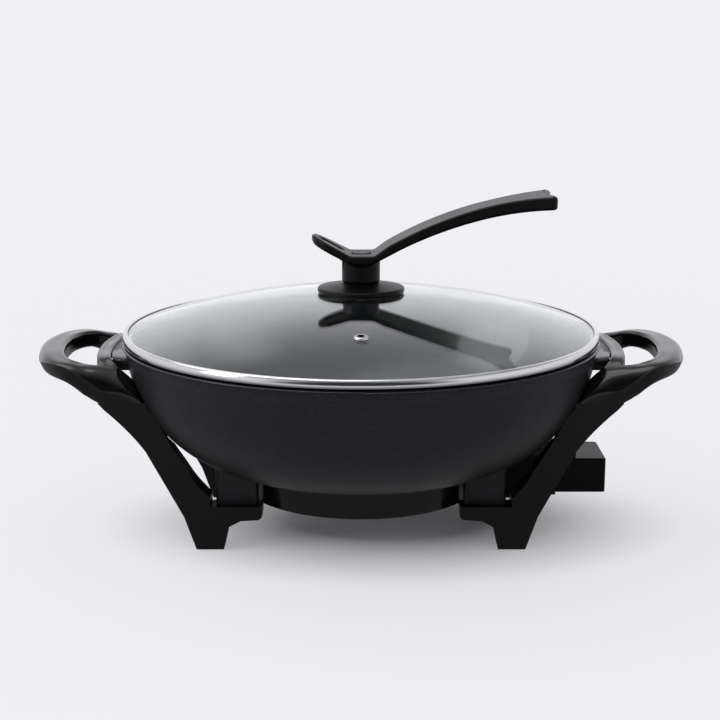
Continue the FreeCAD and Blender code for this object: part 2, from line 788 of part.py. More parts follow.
def make_lid_fixing():
    """The screw from under the glass, with its steel washer and its soft washer."""
    glass_under = dome_height(S.lid_screw_radius) - S.glass_thickness
    soft = Piece("lid_screw_seal")
    outline = soft.sketch("XY_Plane", glass_under - soft_washer - 0.15)
    circle(outline, 0, 0, washer_radius + 1)
    circle(outline, 0, 0, S.lid_screw_radius + 0.3)
    soft.pad(outline, soft_washer)

    washer = Piece("lid_screw_washer")
    washer_bottom = glass_under - soft_washer - 0.15 - steel_washer
    outline = washer.sketch("XY_Plane", washer_bottom)
    circle(outline, 0, 0, washer_radius)
    circle(outline, 0, 0, S.lid_screw_radius + 0.3)
    washer.pad(outline, steel_washer)

    screw = Piece("lid_screw")
    section = screw.sketch("XZ_Plane")
    head = Size(3.2, "3.2")
    head_radius = S.lid_screw_radius + 2.5
    trace(section,
          (0, washer_bottom - head),
          (head_radius - 1.5, washer_bottom - head),
          (head_radius, washer_bottom - 1.4, Size(2.4, "2.4")),
          (head_radius, washer_bottom),
          (S.lid_screw_radius, washer_bottom),
          (S.lid_screw_radius, stem_bottom + insert_length - 1),
          (0, stem_bottom + insert_length - 1))
    screw.revolve(section)
    cross_recess(screw, washer_bottom - head)
    return [soft, washer, screw]


washer_radius = Size(9.0, "9")
soft_washer = Size(1.2, "1.2")
steel_washer = Size(1.0, "1")


def cross_recess(piece, face):
    """A cross recess in a screw head that faces down."""
    recess = piece.sketch("XY_Plane", face)
    arm = Size(2.0, "2")
    half = Size(0.5, "0.5")
    trace(recess,
          (arm, -half), (arm, half), (half, half), (half, arm), (-half, arm), (-half, half),
          (-arm, half), (-arm, -half), (-half, -half), (-half, -arm), (half, -arm), (half, -half))
    piece.pocket(recess, Size(1.5, "1.5"), backwards=True)


# ---------------------------------------------------------------- grips and legs

def clear_of_bowl(piece):
    """Cuts the piece back where the bowl's side, neck and flange pass it."""
    space = piece.sketch("XZ_Plane")
    clear = S.bowl_side_radius + bowl_clearance
    low = S.bowl_bottom + 10
    low_reach = S.bowl_floor_radius + across(clear, bowl_centre - low)
    high_reach = S.flange_radius + bowl_clearance
    trace(space,
          (low_reach, low),
          (S.neck_radius + bowl_clearance, neck_bottom, clear * 1.001),
          (high_reach, neck_bottom + 3),
          (high_reach, S.flange_top + 20),
          (0, S.flange_top + 20),
          (0, low))
    piece.groove(space)


bowl_clearance = Size(1.2, "1.2")


def make_grip(label, turn):
    """A loop grip: a bowed, rounded bar over two short legs that carry on into the stand."""
    grip = Piece(label)
    under = S.grip_top - S.grip_thickness
    bar = grip.sketch("XY_Plane", under)
    side = S.leg_spread
    corner = S.grip_corner_radius
    bow = S.grip_bow_radius
    bow_x = S.grip_reach - bow
    corner_y = side - corner
    corner_x = bow_x + across(bow - corner, corner_y)
    share = bow / (bow - corner)
    meet_x = bow_x + share * (corner_x - bow_x)
    meet_y = share * corner_y
    back = S.seam_inner + 4
    trace(bar,
          (back, -side),
          (corner_x, -side),
          (meet_x, -meet_y, corner),
          (meet_x, meet_y, bow),
          (corner_x, side, corner),
          (back, side))
    grip.pad(bar, S.grip_thickness)
    top = S.grip_top.value
    grip.round_edges(S.grip_thickness * 0.5, lambda edge: is_rim_of_bar(edge, top, back.value))
    grip.round_edges(S.grip_thickness * 0.45,
                     lambda edge: is_rim_of_bar(edge, under.value, back.value))

    shanks = grip.sketch("XZ_Plane")
    slope = S.bowl_side_radius * 1.6
    trace(shanks,
          (S.seam_inner, S.seam_height, Size(110.0, "110")),
          (S.seam_outer, S.seam_height),
          (S.seam_outer + 27.5, under + 1, -slope),
          (S.seam_outer + 30.5, under + 4),
          (S.seam_outer, under + 7),
          (S.seam_inner + 14.5, under + 7))
    grip.pad(shanks, side * 2, both_ways=True)

    arch = grip.sketch("YZ_Plane", back - 20)
    bend = Size(12.0, "12")
    low = S.seam_height - 5
    trace(arch,
          (-leg_inner_face, low),
          (leg_inner_face, low),
          (leg_inner_face, under - bend),
          (leg_inner_face - bend, under, bend),
          (bend - leg_inner_face, under),
          (-leg_inner_face, under - bend, bend))
    grip.pocket(arch, Size(120.0, "120"), backwards=True)

    bowl_side = grip.sketch("XY_Plane", S.grip_top + 5)
    near = across(web_inner, leg_inner_face)
    trace(bowl_side,
          (S.seam_inner - 10, -leg_inner_face),
          (near, -leg_inner_face),
          (near, leg_inner_face, web_inner),
          (S.seam_inner - 10, leg_inner_face))
    grip.pocket(bowl_side, S.grip_thickness + 35)

    hole = grip.sketch("XY_Plane", S.grip_top + 5)
    half = S.finger_hole_half_length
    small = Size(5.0, "5")
    large = Size(19.0, "19")
    small_x = across(web_outer + small, half - small)
    touch = web_outer / (web_outer + small)
    round_off = half * 2.5
    turn_x = S.finger_hole_reach - round_off + across(round_off - large, half - large)
    share = round_off / (round_off - large)
    end_x = S.finger_hole_reach - round_off + share * across(round_off - large, half - large)
    end_y = share * (half - large)
    trace(hole,
          (small_x * touch, (small - half) * touch, -web_outer),
          (small_x, -half, small),
          (turn_x, -half),
          (end_x, -end_y, large),
          (end_x, end_y, round_off),
          (turn_x, half, large),
          (small_x, half),
          (small_x * touch, (half - small) * touch, small))
    grip.pocket(hole, S.grip_thickness + 10)
    inside = half.value + 0.1
    grip.round_edges(S.grip_thickness * 0.22, lambda edge: is_rim_of_hole(edge, top, inside))
    clear_of_bowl(grip)

    bores = grip.sketch("YZ_Plane", Size(150.0, "150"))
    for end in (1, -1):
        circle(bores, end * grip_screw_spread, grip_screw_height, grip_screw_radius + 0.3)
    grip.pocket(bores, S.finger_hole_reach - 152, backwards=True)
    heads = grip.sketch("YZ_Plane", grip_head_seat)
    for end in (1, -1):
        circle(heads, end * grip_screw_spread, grip_screw_height, grip_screw_radius + 2.2)
    grip.pocket(heads, Size(20.0, "20"), backwards=True)

    socket = grip.sketch("XY_Plane", S.seam_height)
    for end in (1, -1):
        rectangle(socket, tenon_inner - 0.3, end * (tenon_near - 0.3),
                  tenon_outer + 0.3, end * (tenon_far + 0.3))
    grip.pocket(socket, tenon_height + 0.5, backwards=True)
    pilot = grip.sketch("XZ_Plane", Size(0.0, "0"))
    circle(pilot, tenon_middle, S.seam_height + tenon_height / 2, grip_screw_radius + 0.3)
    grip.pocket(pilot, tenon_near * 2, both_ways=True)
    grip.place(turn=turn)
    return grip


def is_rim_of_bar(edge, level, back):
    """The bar's outline at this level, but not its plain back end."""
    box = edge.BoundBox
    flat = abs(box.ZMin - level) < 0.01 and abs(box.ZMax - level) < 0.01
    return flat and box.XMax > back + 1


def is_rim_of_hole(edge, level, half):
    """The finger hole's outline at this level."""
    box = edge.BoundBox
    flat = abs(box.ZMin - level) < 0.01 and abs(box.ZMax - level) < 0.01
    within = max(abs(box.YMin), abs(box.YMax)) < half
    return flat and within and box.XMin > web_inner.value and box.XMax < S.finger_hole_reach.value + 1


tenon_middle = (S.seam_inner + S.seam_outer) / 2 + 2
tenon_inner = tenon_middle - 5.5
tenon_outer = tenon_middle + 5.5
tenon_near = leg_inner_face + 4
tenon_far = S.leg_spread - 5
tenon_height = Size(10.0, "10")
grip_head_seat = across(web_outer, grip_screw_spread) - 3.5


def make_leg(label, end, turn):
    """A leg: a blade from the grip to the foot, with an inner arm that carries a lug of the bowl."""
    leg = Piece(label)
    side_view = leg.sketch("XZ_Plane", end * S.leg_spread)
    knee = S.foot_outer + 36.2
    knee_height = S.foot_lift + 75.2
    crotch = S.arm_ledge + 6.7
    crotch_reach = S.lug_outer + 3.7
    arm_end = S.arm_reach
    trace(side_view,
          (S.foot_outer, S.foot_lift),
          (S.foot_outer + 9.9, S.foot_lift + 25.2),
          (knee, knee_height),
          (S.seam_outer, S.seam_height, -S.bowl_side_radius * 1.6),
          (S.seam_inner, S.seam_height),
          (crotch_reach, crotch, -S.bowl_side_radius * 2.1),
          (crotch_reach, S.arm_ledge),
          (arm_end, S.arm_ledge),
          (arm_end, S.arm_ledge - S.arm_depth * 0.55),
          (arm_end + 4, S.arm_ledge - S.arm_depth + 0.7, S.arm_depth * 0.42),
          (arm_end + 16, S.arm_ledge - S.arm_depth),
          (S.foot_outer - S.foot_width - 6.5, S.foot_lift + 17.3),
          (S.foot_outer - S.foot_width, S.foot_lift))
    leg.pad(side_view, S.leg_thickness, backwards=end < 0)

    trim = leg.sketch("XY_Plane", S.seam_height)
    circle(trim, 0, 0, S.ring_radius + S.seat_gap)
    leg.pocket(trim, S.seam_height)
    clear_of_bowl(leg)

    hollow = leg.sketch("XZ_Plane", end * leg_inner_face)
    wall = S.leg_wall
    trace(hollow,
          (S.foot_outer + 3.6, S.arm_ledge + 1),
          (S.foot_outer + 13.4 - wall * 0.3, S.arm_ledge + 1),
          (knee - wall - 3, knee_height - 3),
          (knee - wall - 15, knee_height - 12))
    leg.pocket(hollow, S.leg_thickness - wall, backwards=end > 0)
    upper_hollow = leg.sketch("XZ_Plane", end * leg_inner_face)
    trace(upper_hollow,
          (knee - wall - 13, knee_height - 6),
          (knee - wall - 1, knee_height + 2),
          (S.seam_outer - wall - 7, S.seam_height - wall),
          (S.seam_inner + wall, S.seam_height - wall))
    leg.pocket(upper_hollow, S.leg_thickness - wall, backwards=end > 0)

    tenon = leg.sketch("XY_Plane", S.seam_height)
    rectangle(tenon, tenon_inner, end * tenon_near, tenon_outer, end * tenon_far)
    leg.pad(tenon, tenon_height)
    thread = leg.sketch("XZ_Plane", end * (tenon_near - 1))
    circle(thread, tenon_middle, S.seam_height + tenon_height / 2, grip_screw_radius)
    leg.pocket(thread, Size(7.0, "7"), backwards=end < 0)

    bolt = leg.sketch("XY_Plane", S.arm_ledge)
    circle(bolt, S.lug_screw_reach, end * lug_screw_spread, leg_screw_radius + 0.3)
    leg.pocket(bolt, S.arm_depth * 2)
    sink = leg.sketch("XY_Plane", lug_head_seat)
    circle(sink, S.lug_screw_reach, end * lug_screw_spread, leg_screw_radius + 2.6)
    leg.pocket(sink, S.arm_depth)

    seat = leg.sketch("XY_Plane", S.foot_lift)
    circle(seat, foot_middle, end * pad_spread, S.pad_radius + 0.1)
    leg.pocket(seat, S.pad_thickness - S.foot_lift, backwards=True)
    leg.place(turn=turn)
    return leg


lug_head_seat = S.arm_ledge - 4.5
foot_middle = S.foot_outer - S.foot_width / 2
pad_spread = S.leg_spread - S.leg_thickness / 2


def make_foot_pad(label, side, end):
    pad = Piece(label)
    outline = pad.sketch("XY_Plane")
    circle(outline, 0, 0, S.pad_radius)
    pad.pad(outline, S.pad_thickness)
    pad.place(x=side * foot_middle, y=end * pad_spread)
    return pad


# ---------------------------------------------------------------- stand and heater

def make_base_ring():
    """The skirt round the heater, cut away where the plug pins come out."""
    ring = Piece("base_ring")
    section = ring.sketch("XZ_Plane")
    inner = S.ring_radius - S.ring_wall
    ledge = S.ring_radius - S.ring_wall - 3.5
    top = bowl_height(S.ring_radius) - 0.6
    trace(section,
          (ledge, cover_top),
          (inner, cover_top),
          (inner, S.ring_bottom),
          (S.ring_radius, S.ring_bottom),
          (S.ring_radius, top),
          (inner, top - 0.6),
          (inner, cover_top + 2),
          (ledge, cover_top + 2))
    ring.revolve(section)
    mouth = ring.sketch("YZ_Plane", S.ring_radius + 5)
    half = S.pin_spread + S.element_tube + 3
    rectangle(mouth, -half, S.element_height - probe_boss_half - 2, half, top + 5)
    ring.pocket(mouth, Size(30.0, "30"))
    return ring


def make_bottom_cover():
    """The pressed steel plate under the heater, with a ring of vent slots."""
    cover = Piece("bottom_cover")
    disc = cover.sketch("XY_Plane", S.cover_bottom)
    circle(disc, 0, 0, S.ring_radius - S.ring_wall - 0.4)
    cover.pad(disc, S.cover_thickness)
    screw_hole = cover.sketch("XY_Plane", cover_top)
    circle(screw_hole, 0, S.cover_screw_reach, cover_screw_radius + 0.3)
    cover.around(cover.pocket(screw_hole, S.cover_thickness * 2), 3)
    slot = cover.sketch("XY_Plane", cover_top)
    half = Size(2.0, "2")
    rectangle(slot, S.element_radius - 4, -half, S.element_radius + 12, half)
    cover.around(cover.pocket(slot, S.cover_thickness * 2), 12)
    return cover


def make_element():
    """The tubular element: a ring that opens to the right, with two cold ends."""
    element = Piece("heating_element")
    path = element.sketch("XY_Plane", S.element_height)
    ring = S.element_radius
    bend = S.element_bend
    bend_y = S.pin_spread + bend
    bend_x = across(ring + bend, bend_y)
    touch_x = bend_x * ring / (ring + bend)
    touch_y = bend_y * ring / (ring + bend)
    spine = [
        Part.LineSegment(point((S.tube_end, S.pin_spread)), point((bend_x, S.pin_spread))),
        arc_between(point((bend_x, S.pin_spread)), point((touch_x, touch_y)), -bend.value),
        Part.Arc(point((touch_x, touch_y)), point((-ring, 0)), point((touch_x, -touch_y))),
        arc_between(point((touch_x, -touch_y)), point((bend_x, -S.pin_spread)), -bend.value),
        Part.LineSegment(point((bend_x, -S.pin_spread)), point((S.tube_end, -S.pin_spread))),
    ]
    path.addGeometry(spine, False)
    corners = [(bend_x, S.pin_spread), (touch_x, touch_y), (touch_x, -touch_y),
               (bend_x, -S.pin_spread), (S.tube_end, -S.pin_spread)]
    starts = [START, END, START, END, START]
    constraints = []
    drives = []
    pin_down(path, 0, START, (S.tube_end, S.pin_spread), constraints, drives)
    for index, corner in enumerate(corners):
        finish = END if starts[index] == START else START
        pin_down(path, index, finish, corner, constraints, drives)
        if index < 4:
            constraints.append(
                Sketcher.Constraint("Coincident", index, finish, index + 1, starts[index + 1]))
    for index, radius in ((1, bend), (2, ring), (3, bend)):
        drives.append((len(constraints), radius.text))
        constraints.append(Sketcher.Constraint("Radius", index, radius.value))
    settle(path, constraints, drives)
    section = element.sketch("YZ_Plane", S.tube_end)
    circle(section, S.pin_spread, S.element_height, S.element_tube)
    doc.recompute()
    pipe = element.feature("AdditivePipe", section)
    pipe.Spine = (path, [f"Edge{i}" for i in range(1, 6)])
    return element


def make_terminals():
    """Pins and ceramic beads, two of each."""
    made = []
    for label, start, end, radius, bore in (
            ("terminal_pins", S.tube_end, S.pin_end, S.pin_radius, None),
            ("terminal_insulators", S.tube_end + 2, bead_end, bead_radius, S.pin_radius + 0.1)):
        parts = []
        for name, side in (("front", -1), ("rear", 1)):
            piece = Piece(f"{label}_{name}")
            outline = piece.sketch("YZ_Plane", start)
            circle(outline, side * S.pin_spread, S.element_height, radius)
            if bore is not None:
                circle(outline, side * S.pin_spread, S.element_height, bore)
            piece.pad(outline, end - start)
            parts.append(piece.body)
        made.append(group(label, parts))
    return made


bead_radius = Size(5.2, "5.2")
bead_end = S.case_start - 1


def group(label, objects):
    """Like pieces that share one node."""
    compound = doc.addObject("Part::Compound", label)
    compound.Label = label
    compound.Links = objects
    return compound


def make_shroud():
    """The guard round the plug pins, with a tongue over and under the controller."""
    shroud = Piece("socket_shroud")
    inner_half = S.case_half_width + S.shroud_gap
    outer_half = inner_half + S.shroud_wall
    floor = S.case_bottom - S.shroud_gap
    roof = case_top + S.shroud_gap
    box = shroud.sketch("XY_Plane", floor - S.shroud_wall)
    rectangle(box, S.shroud_start, -outer_half, S.shroud_mouth, outer_half)
    shroud.pad(box, roof - floor + S.shroud_wall * 2)
    inside = shroud.sketch("XY_Plane", floor)
    rectangle(inside, S.shroud_start + S.shroud_wall, -inner_half, S.shroud_mouth + 1, inner_half)
    shroud.pocket(inside, roof - floor, backwards=True)

    lower = shroud.sketch("XY_Plane", floor - S.shroud_wall)
    rectangle(lower, S.shroud_mouth - 5, -S.tongue_half_width,
              S.lower_tongue_end, S.tongue_half_width)
    shroud.pad(lower, S.shroud_wall)
    upper = shroud.sketch("XY_Plane", roof)
    rectangle(upper, S.shroud_mouth - 5, -S.tongue_half_width,
              S.upper_tongue_end, S.tongue_half_width)
    shroud.pad(upper, S.shroud_wall)

    ears = shroud.sketch("XY_Plane", shroud_ear_top - shroud_ear_thickness)
    ear_end = shroud_screw_spread + 5.5
    for end in (1, -1):
        rectangle(ears, S.shroud_start, end * (outer_half - 1), shroud_screw_reach + 7,
                  end * ear_end)
    shroud.pad(ears, shroud_ear_thickness)

    under_bowl = shroud.sketch("XZ_Plane")
    clear = S.bowl_side_radius + 0.8
    start_radius = S.ring_radius + 1
    end_radius = S.upper_tongue_end + 20
    curve_start = bowl_centre - across(clear, start_radius - S.bowl_floor_radius)
    curve_end = bowl_centre - across(clear, Size(70.0, "70"))
    trace(under_bowl,
          (start_radius, curve_start),
          (S.bowl_floor_radius + 70, curve_end, clear),
          (end_radius, curve_end),
          (end_radius, curve_end + 60),
          (start_radius, curve_end + 60))
    shroud.groove(under_bowl)

    holes = shroud.sketch("YZ_Plane", S.shroud_start - 1)
    for end in (1, -1):
        circle(holes, end * S.pin_spread, S.element_height, bead_radius + 0.15)
    circle(holes, 0, S.element_height, S.probe_radius + 1.0)
    shroud.pocket(holes, S.shroud_wall + 2, backwards=True)

    bolts = shroud.sketch("XY_Plane", shroud_ear_top)
    for end in (1, -1):
        circle(bolts, shroud_screw_reach, end * shroud_screw_spread, cover_screw_radius + 0.3)
    shroud.pocket(bolts, shroud_ear_thickness * 2)
    return shroud


# ---------------------------------------------------------------- controller

def make_case():
    """The controller's lower housing: a box with a recess for the dial in its outer end."""
    case = Piece("controller_base")
    outline = case.sketch("XY_Plane", S.case_bottom)
    rectangle(outline, S.case_start, -S.case_half_width, S.case_end, S.case_half_width)
    case.pad(outline, case_seam - S.case_bottom)
    case.round_edges(S.small_round * 2, lambda edge: is_upright(edge))
    cavity = case.sketch("XY_Plane", case_seam)
    rectangle(cavity, S.case_start + S.case_wall, S.case_wall - S.case_half_width,
              dial_wall, S.case_half_width - S.case_wall)
    case.pocket(cavity, case_seam - S.case_bottom - S.case_wall)
    bores = case.sketch("YZ_Plane", S.case_start - 1)
    for end in (1, -1):
        circle(bores, end * S.pin_spread, S.element_height, sleeve_radius)
    circle(bores, 0, S.element_height, S.probe_radius)
    case.pocket(bores, S.case_wall + 2, backwards=True)
    recess = case.sketch("YZ_Plane", S.case_end)
    circle(recess, 0, S.dial_height, S.dial_radius + 0.4)
    case.pocket(recess, S.dial_recess)
    shaft_bore = case.sketch("YZ_Plane", S.case_end)
    circle(shaft_bore, 0, S.dial_height, shaft_radius + S.running_gap)
    case.pocket(shaft_bore, S.case_end - dial_wall + 2)
    lamp_bore = case.sketch("YZ_Plane", S.case_end)
    circle(lamp_bore, lamp_spread, S.dial_height, lamp_radius)
    case.pocket(lamp_bore, S.case_end - dial_wall + 2)
    gland_bore = case.sketch("XZ_Plane", S.case_half_width)
    circle(gland_bore, gland_reach, gland_height, gland_radius)
    case.pocket(gland_bore, S.case_wall + 1, backwards=True)
    posts = case.sketch("XY_Plane", S.case_bottom)
    threads = case.sketch("XY_Plane", S.case_bottom)
    for x, y in case_screws():
        circle(posts, x, y, post_radius)
        circle(threads, x, y, case_screw_radius)
    case.pad(posts, case_seam - S.case_bottom)
    case.pocket(threads, case_seam - S.case_bottom, backwards=True)
    sinks = case.sketch("XY_Plane", S.case_bottom)
    for x, y in case_screws():
        circle(sinks, x, y, case_screw_radius * 1.85)
    case.pocket(sinks, case_screw_seat, backwards=True)
    return case


def is_upright(edge):
    if len(edge.Vertexes) != 2:
        return False
    span = edge.Vertexes[1].Point.sub(edge.Vertexes[0].Point)
    return abs(span.x) < 0.01 and abs(span.y) < 0.01


dial_wall = S.case_end - S.dial_recess - 2.5
shaft_radius = Size(2.0, "2")
sleeve_radius = S.pin_radius + 1.6
lamp_radius = Size(2.5, "2.5")
lamp_spread = Size(16.0, "16")
gland_radius = Size(5.0, "5")
gland_reach = S.case_start + 34
gland_height = S.case_bottom + 11
post_radius = Size(3.0, "3")
case_screw_radius = Size(1.3, "1.3")
case_screw_seat = Size(2.0, "2")


def case_screws():
    inset = S.case_wall + 3.2
    ends = (S.case_start + inset, dial_wall - 3.2)
    return [(x, side * (S.case_half_width - inset)) for x in ends for side in (1, -1)]


def make_case_cover():
    cover = Piece("controller_cover")
    outline = cover.sketch("XY_Plane", case_seam)
    rectangle(outline, S.case_start, -S.case_half_width, S.case_end, S.case_half_width)
    cover.pad(outline, S.case_lid)
    cover.round_edges(S.small_round * 2, lambda edge: is_upright(edge))
    cover.round_edges(S.small_round, lambda edge: is_level(edge, case_top))
    hollow = cover.sketch("XY_Plane", case_seam)
    rectangle(hollow, S.case_start + S.case_wall, S.case_wall * 4 - S.case_half_width,
              dial_wall, S.case_half_width - S.case_wall * 4)
    cover.pocket(hollow, S.case_lid - S.case_wall, backwards=True)
    threads = cover.sketch("XY_Plane", case_seam)
    for x, y in case_screws():
        circle(threads, x, y, case_screw_radius)
    cover.pocket(threads, S.case_lid * 0.6, backwards=True)
    return cover


def is_level(edge, height):
    return all(abs(vertex.Z - height.value) < 0.01 for vertex in edge.Vertexes)


def make_probe():
    """The temperature probe: a capped tube from the thermostat into the bowl's boss."""
    probe = Piece("controller_probe")
    tip = S.probe_depth + 2
    outline = probe.sketch("YZ_Plane", tip)
    circle(outline, 0, S.element_height, S.probe_radius)
    probe.pad(outline, probe_end - tip)
    probe.round_edges(S.probe_radius * 0.8, lambda edge: edge.BoundBox.XMax < tip.value + 0.01)
    return probe


probe_end = S.case_start + S.case_wall + 4


def make_sleeves():
    parts = []
    for name, side in (("front", -1), ("rear", 1)):
        sleeve = Piece(f"contact_sleeve_{name}")
        outline = sleeve.sketch("YZ_Plane", S.case_start)
        circle(outline, side * S.pin_spread, S.element_height, sleeve_radius)
        circle(outline, side * S.pin_spread, S.element_height, S.pin_radius + S.running_gap * 2)
        sleeve.pad(outline, S.pin_end - S.case_start + 3)
        parts.append(sleeve.body)
    return group("controller_sleeves", parts)


def make_thermostat():
    """The switch block that stands between the probe and the dial's shaft."""
    block = Piece("thermostat_block")
    outline = block.sketch("XY_Plane", S.case_bottom + S.case_wall)
    rectangle(outline, probe_end, -block_half, shaft_start, block_half)
    block.pad(outline, case_seam - S.case_bottom - S.case_wall * 2)
    leaf = block.sketch("XY_Plane", S.case_bottom + S.case_wall * 4)
    rectangle(leaf, probe_end + 5, -block_half - 1, shaft_start - 5, block_half + 1)
    block.pocket(leaf, Size(2.5, "2.5"), backwards=True)
    return block


block_half = S.pin_spread - sleeve_radius - 0.4
shaft_start = dial_wall - 14


def make_dial():
    """The dial: a disc with a finger bar, flush with the controller's end, and its shaft."""
    dial = Piece("dial")
    disc = dial.sketch("YZ_Plane", dial_back)
    circle(disc, 0, S.dial_height, S.dial_radius)
    dial.pad(disc, Size(2.0, "2"))
    bar = dial.sketch("YZ_Plane", dial_back)
    half = Size(1.6, "1.6")
    reach = S.dial_radius * 0.86
    rectangle(bar, -half, S.dial_height - reach, half, S.dial_height + reach)
    dial.pad(bar, S.dial_recess - 0.4)
    shaft = Piece("dial_shaft")
    outline = shaft.sketch("YZ_Plane", shaft_start + 0.3)
    circle(outline, 0, S.dial_height, shaft_radius)
    shaft.pad(outline, dial_back - shaft_start - 0.3)
    return [dial, shaft]


dial_back = S.case_end - S.dial_recess + 0.3


def make_lamp_and_gland():
    lamp = Piece("controller_lamp")
    outline = lamp.sketch("YZ_Plane", dial_wall + 0.1)
    circle(outline, lamp_spread, S.dial_height, lamp_radius)
    lamp.pad(outline, S.case_end - dial_wall + 0.4)

    gland = Piece("controller_gland")
    section = gland.sketch("XZ_Plane", S.case_half_width - S.case_wall)
    circle(section, gland_reach, gland_height, gland_radius)
    circle(section, gland_reach, gland_height, gland_radius - 1.8)
    gland.pad(section, S.case_wall + 7, backwards=True)
    collar = gland.sketch("XZ_Plane", S.case_half_width)
    circle(collar, gland_reach, gland_height, gland_radius + 1.5)
    circle(collar, gland_reach, gland_height, gland_radius - 1.8)
    gland.pad(collar, Size(2.0, "2"), backwards=True)
    return [lamp, gland]


# ---------------------------------------------------------------- fasteners

def make_screws(label, places, axis, radius, length):
    """Pan-head screws in one node. Each place is the middle of a head's seat, and the shank
    runs from there along the axis."""
    turns = {
        "up": FreeCAD.Rotation(),
        "left": FreeCAD.Rotation(FreeCAD.Vector(0, 1, 0), -90),
        "right": FreeCAD.Rotation(FreeCAD.Vector(0, 1, 0), 90),
        "front": FreeCAD.Rotation(FreeCAD.Vector(1, 0, 0), 90),
        "rear": FreeCAD.Rotation(FreeCAD.Vector(1, 0, 0), -90),
    }
    parts = []
    for index, (place, direction) in enumerate(zip(places, axis)):
        screw = Piece(f"{label}_{index + 1}")
        section = screw.sketch("XZ_Plane")
        head_radius = radius * 1.85
        head = radius * 1.2
        trace(section,
              (0, -head),
              (head_radius - head * 0.5, -head),
              (head_radius, -head * 0.5, head * 0.6),
              (head_radius, 0),
              (radius, 0),
              (radius, length),
              (0, length))
        screw.revolve(section)
        slot = screw.sketch("XY_Plane", -head)
        arm = radius * 0.95
        half = radius * 0.2
        trace(slot,
              (arm, -half), (arm, half), (half, half), (half, arm), (-half, arm), (-half, half),
              (-arm, half), (-arm, -half), (-half, -half), (-half, -arm), (half, -arm),
              (half, -half))
        screw.pocket(slot, head * 0.6, backwards=True)
        screw.body.Placement = FreeCAD.Placement(FreeCAD.Vector(), turns[direction])
        for name, length_along in zip("xyz", place):
            screw.body.setExpression(f"Placement.Base.{name}", as_size(length_along).text)
        parts.append(screw.body)
    return group(label, parts)


def make_fasteners():
    corners = [(side, end) for side in (1, -1) for end in (1, -1)]
    made = []
    made.append(make_screws(
        "leg_screws_lower",
        [(side * S.lug_screw_reach, end * lug_screw_spread, lug_head_seat)
         for side, end in corners],
        ["up"] * 4, leg_screw_radius - 0.15, S.arm_ledge - lug_head_seat + 12))
    made.append(make_screws(
        "leg_screws_upper",
        [(side * tenon_middle, end * leg_inner_face, S.seam_height + tenon_height / 2)
         for side, end in corners],
        ["rear", "front"] * 2, grip_screw_radius - 0.15, Size(8.0, "8")))
    made.append(make_screws(
        "grip_screws",
        [(side * grip_head_seat, end * grip_screw_spread, grip_screw_height)
         for side, end in corners],
        ["left", "left", "right", "right"], grip_screw_radius - 0.15,
        grip_head_seat - ear_thread_end - 1))
    third = 120
    made.append(make_screws(
        "bottom_cover_screws",
        [(S.cover_screw_reach * sine(-third * i), S.cover_screw_reach * cosine(third * i),
          S.cover_bottom) for i in range(3)],
        ["up"] * 3, cover_screw_radius - 0.15, cover_thread_depth))
    made.append(make_screws(
        "shroud_screws",
        [(shroud_screw_reach, end * shroud_screw_spread, shroud_ear_top - shroud_ear_thickness)
         for end in (1, -1)],
        ["up"] * 2, cover_screw_radius - 0.15, shroud_ear_thickness + shroud_thread_depth - 1))
    return made


def make_case_screws():
    return make_screws(
        "controller_screws",
        [(x, y, S.case_bottom + case_screw_seat) for x, y in case_screws()],
        ["up"] * 4, case_screw_radius - 0.1, S.case_height - S.case_lid)


# ---------------------------------------------------------------- assembly

nodes = [
    make_pan(),
    make_lid_glass(),
    make_lid_rim(),
    make_vent(),
    make_knob_seal(),
    make_knob_base(),
    make_lid_arm(),
    make_arm_cap(),
    make_lid_insert(),
    *make_lid_fixing(),
    make_grip("grip_right", 0),
    make_grip("grip_left", 180),
    make_leg("leg_front_right", -1, 0),
    make_leg("leg_rear_right", 1, 0),
    make_leg("leg_rear_left", -1, 180),
    make_leg("leg_front_left", 1, 180),
    make_foot_pad("foot_pad_front_right", 1, -1),
    make_foot_pad("foot_pad_rear_right", 1, 1),
    make_foot_pad("foot_pad_rear_left", -1, 1),
    make_foot_pad("foot_pad_front_left", -1, -1),
    make_base_ring(),
    make_bottom_cover(),
    make_element(),
    *make_terminals(),
    make_shroud(),
    make_case(),
    make_case_cover(),
    make_probe(),
    make_sleeves(),
    make_thermostat(),
    *make_dial(),
    *make_lamp_and_gland(),
    *make_fasteners(),
    make_case_screws(),
]
doc.recompute()

for thing in doc.Objects:
    if "Invalid" in thing.State or "Error" in thing.State:
        raise RuntimeError(f"{thing.Label} did not build: {thing.State}")

os.makedirs("parts", exist_ok=True)
for node in nodes:
    solid = node.body if isinstance(node, Piece) else node
    if solid.Shape.isNull() or not solid.Shape.isValid():
        raise RuntimeError(f"{solid.Label} has no valid shape")
    solid.Shape.exportStep(f"parts/{solid.Label}.step")
    print(f"{solid.Label}: {len(solid.Shape.Solids)} solid, {solid.Shape.Volume:.0f} mm3")
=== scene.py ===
"""The looks of an electric wok: finishes and finely edged pieces around its fixed frame."""

import json
import math

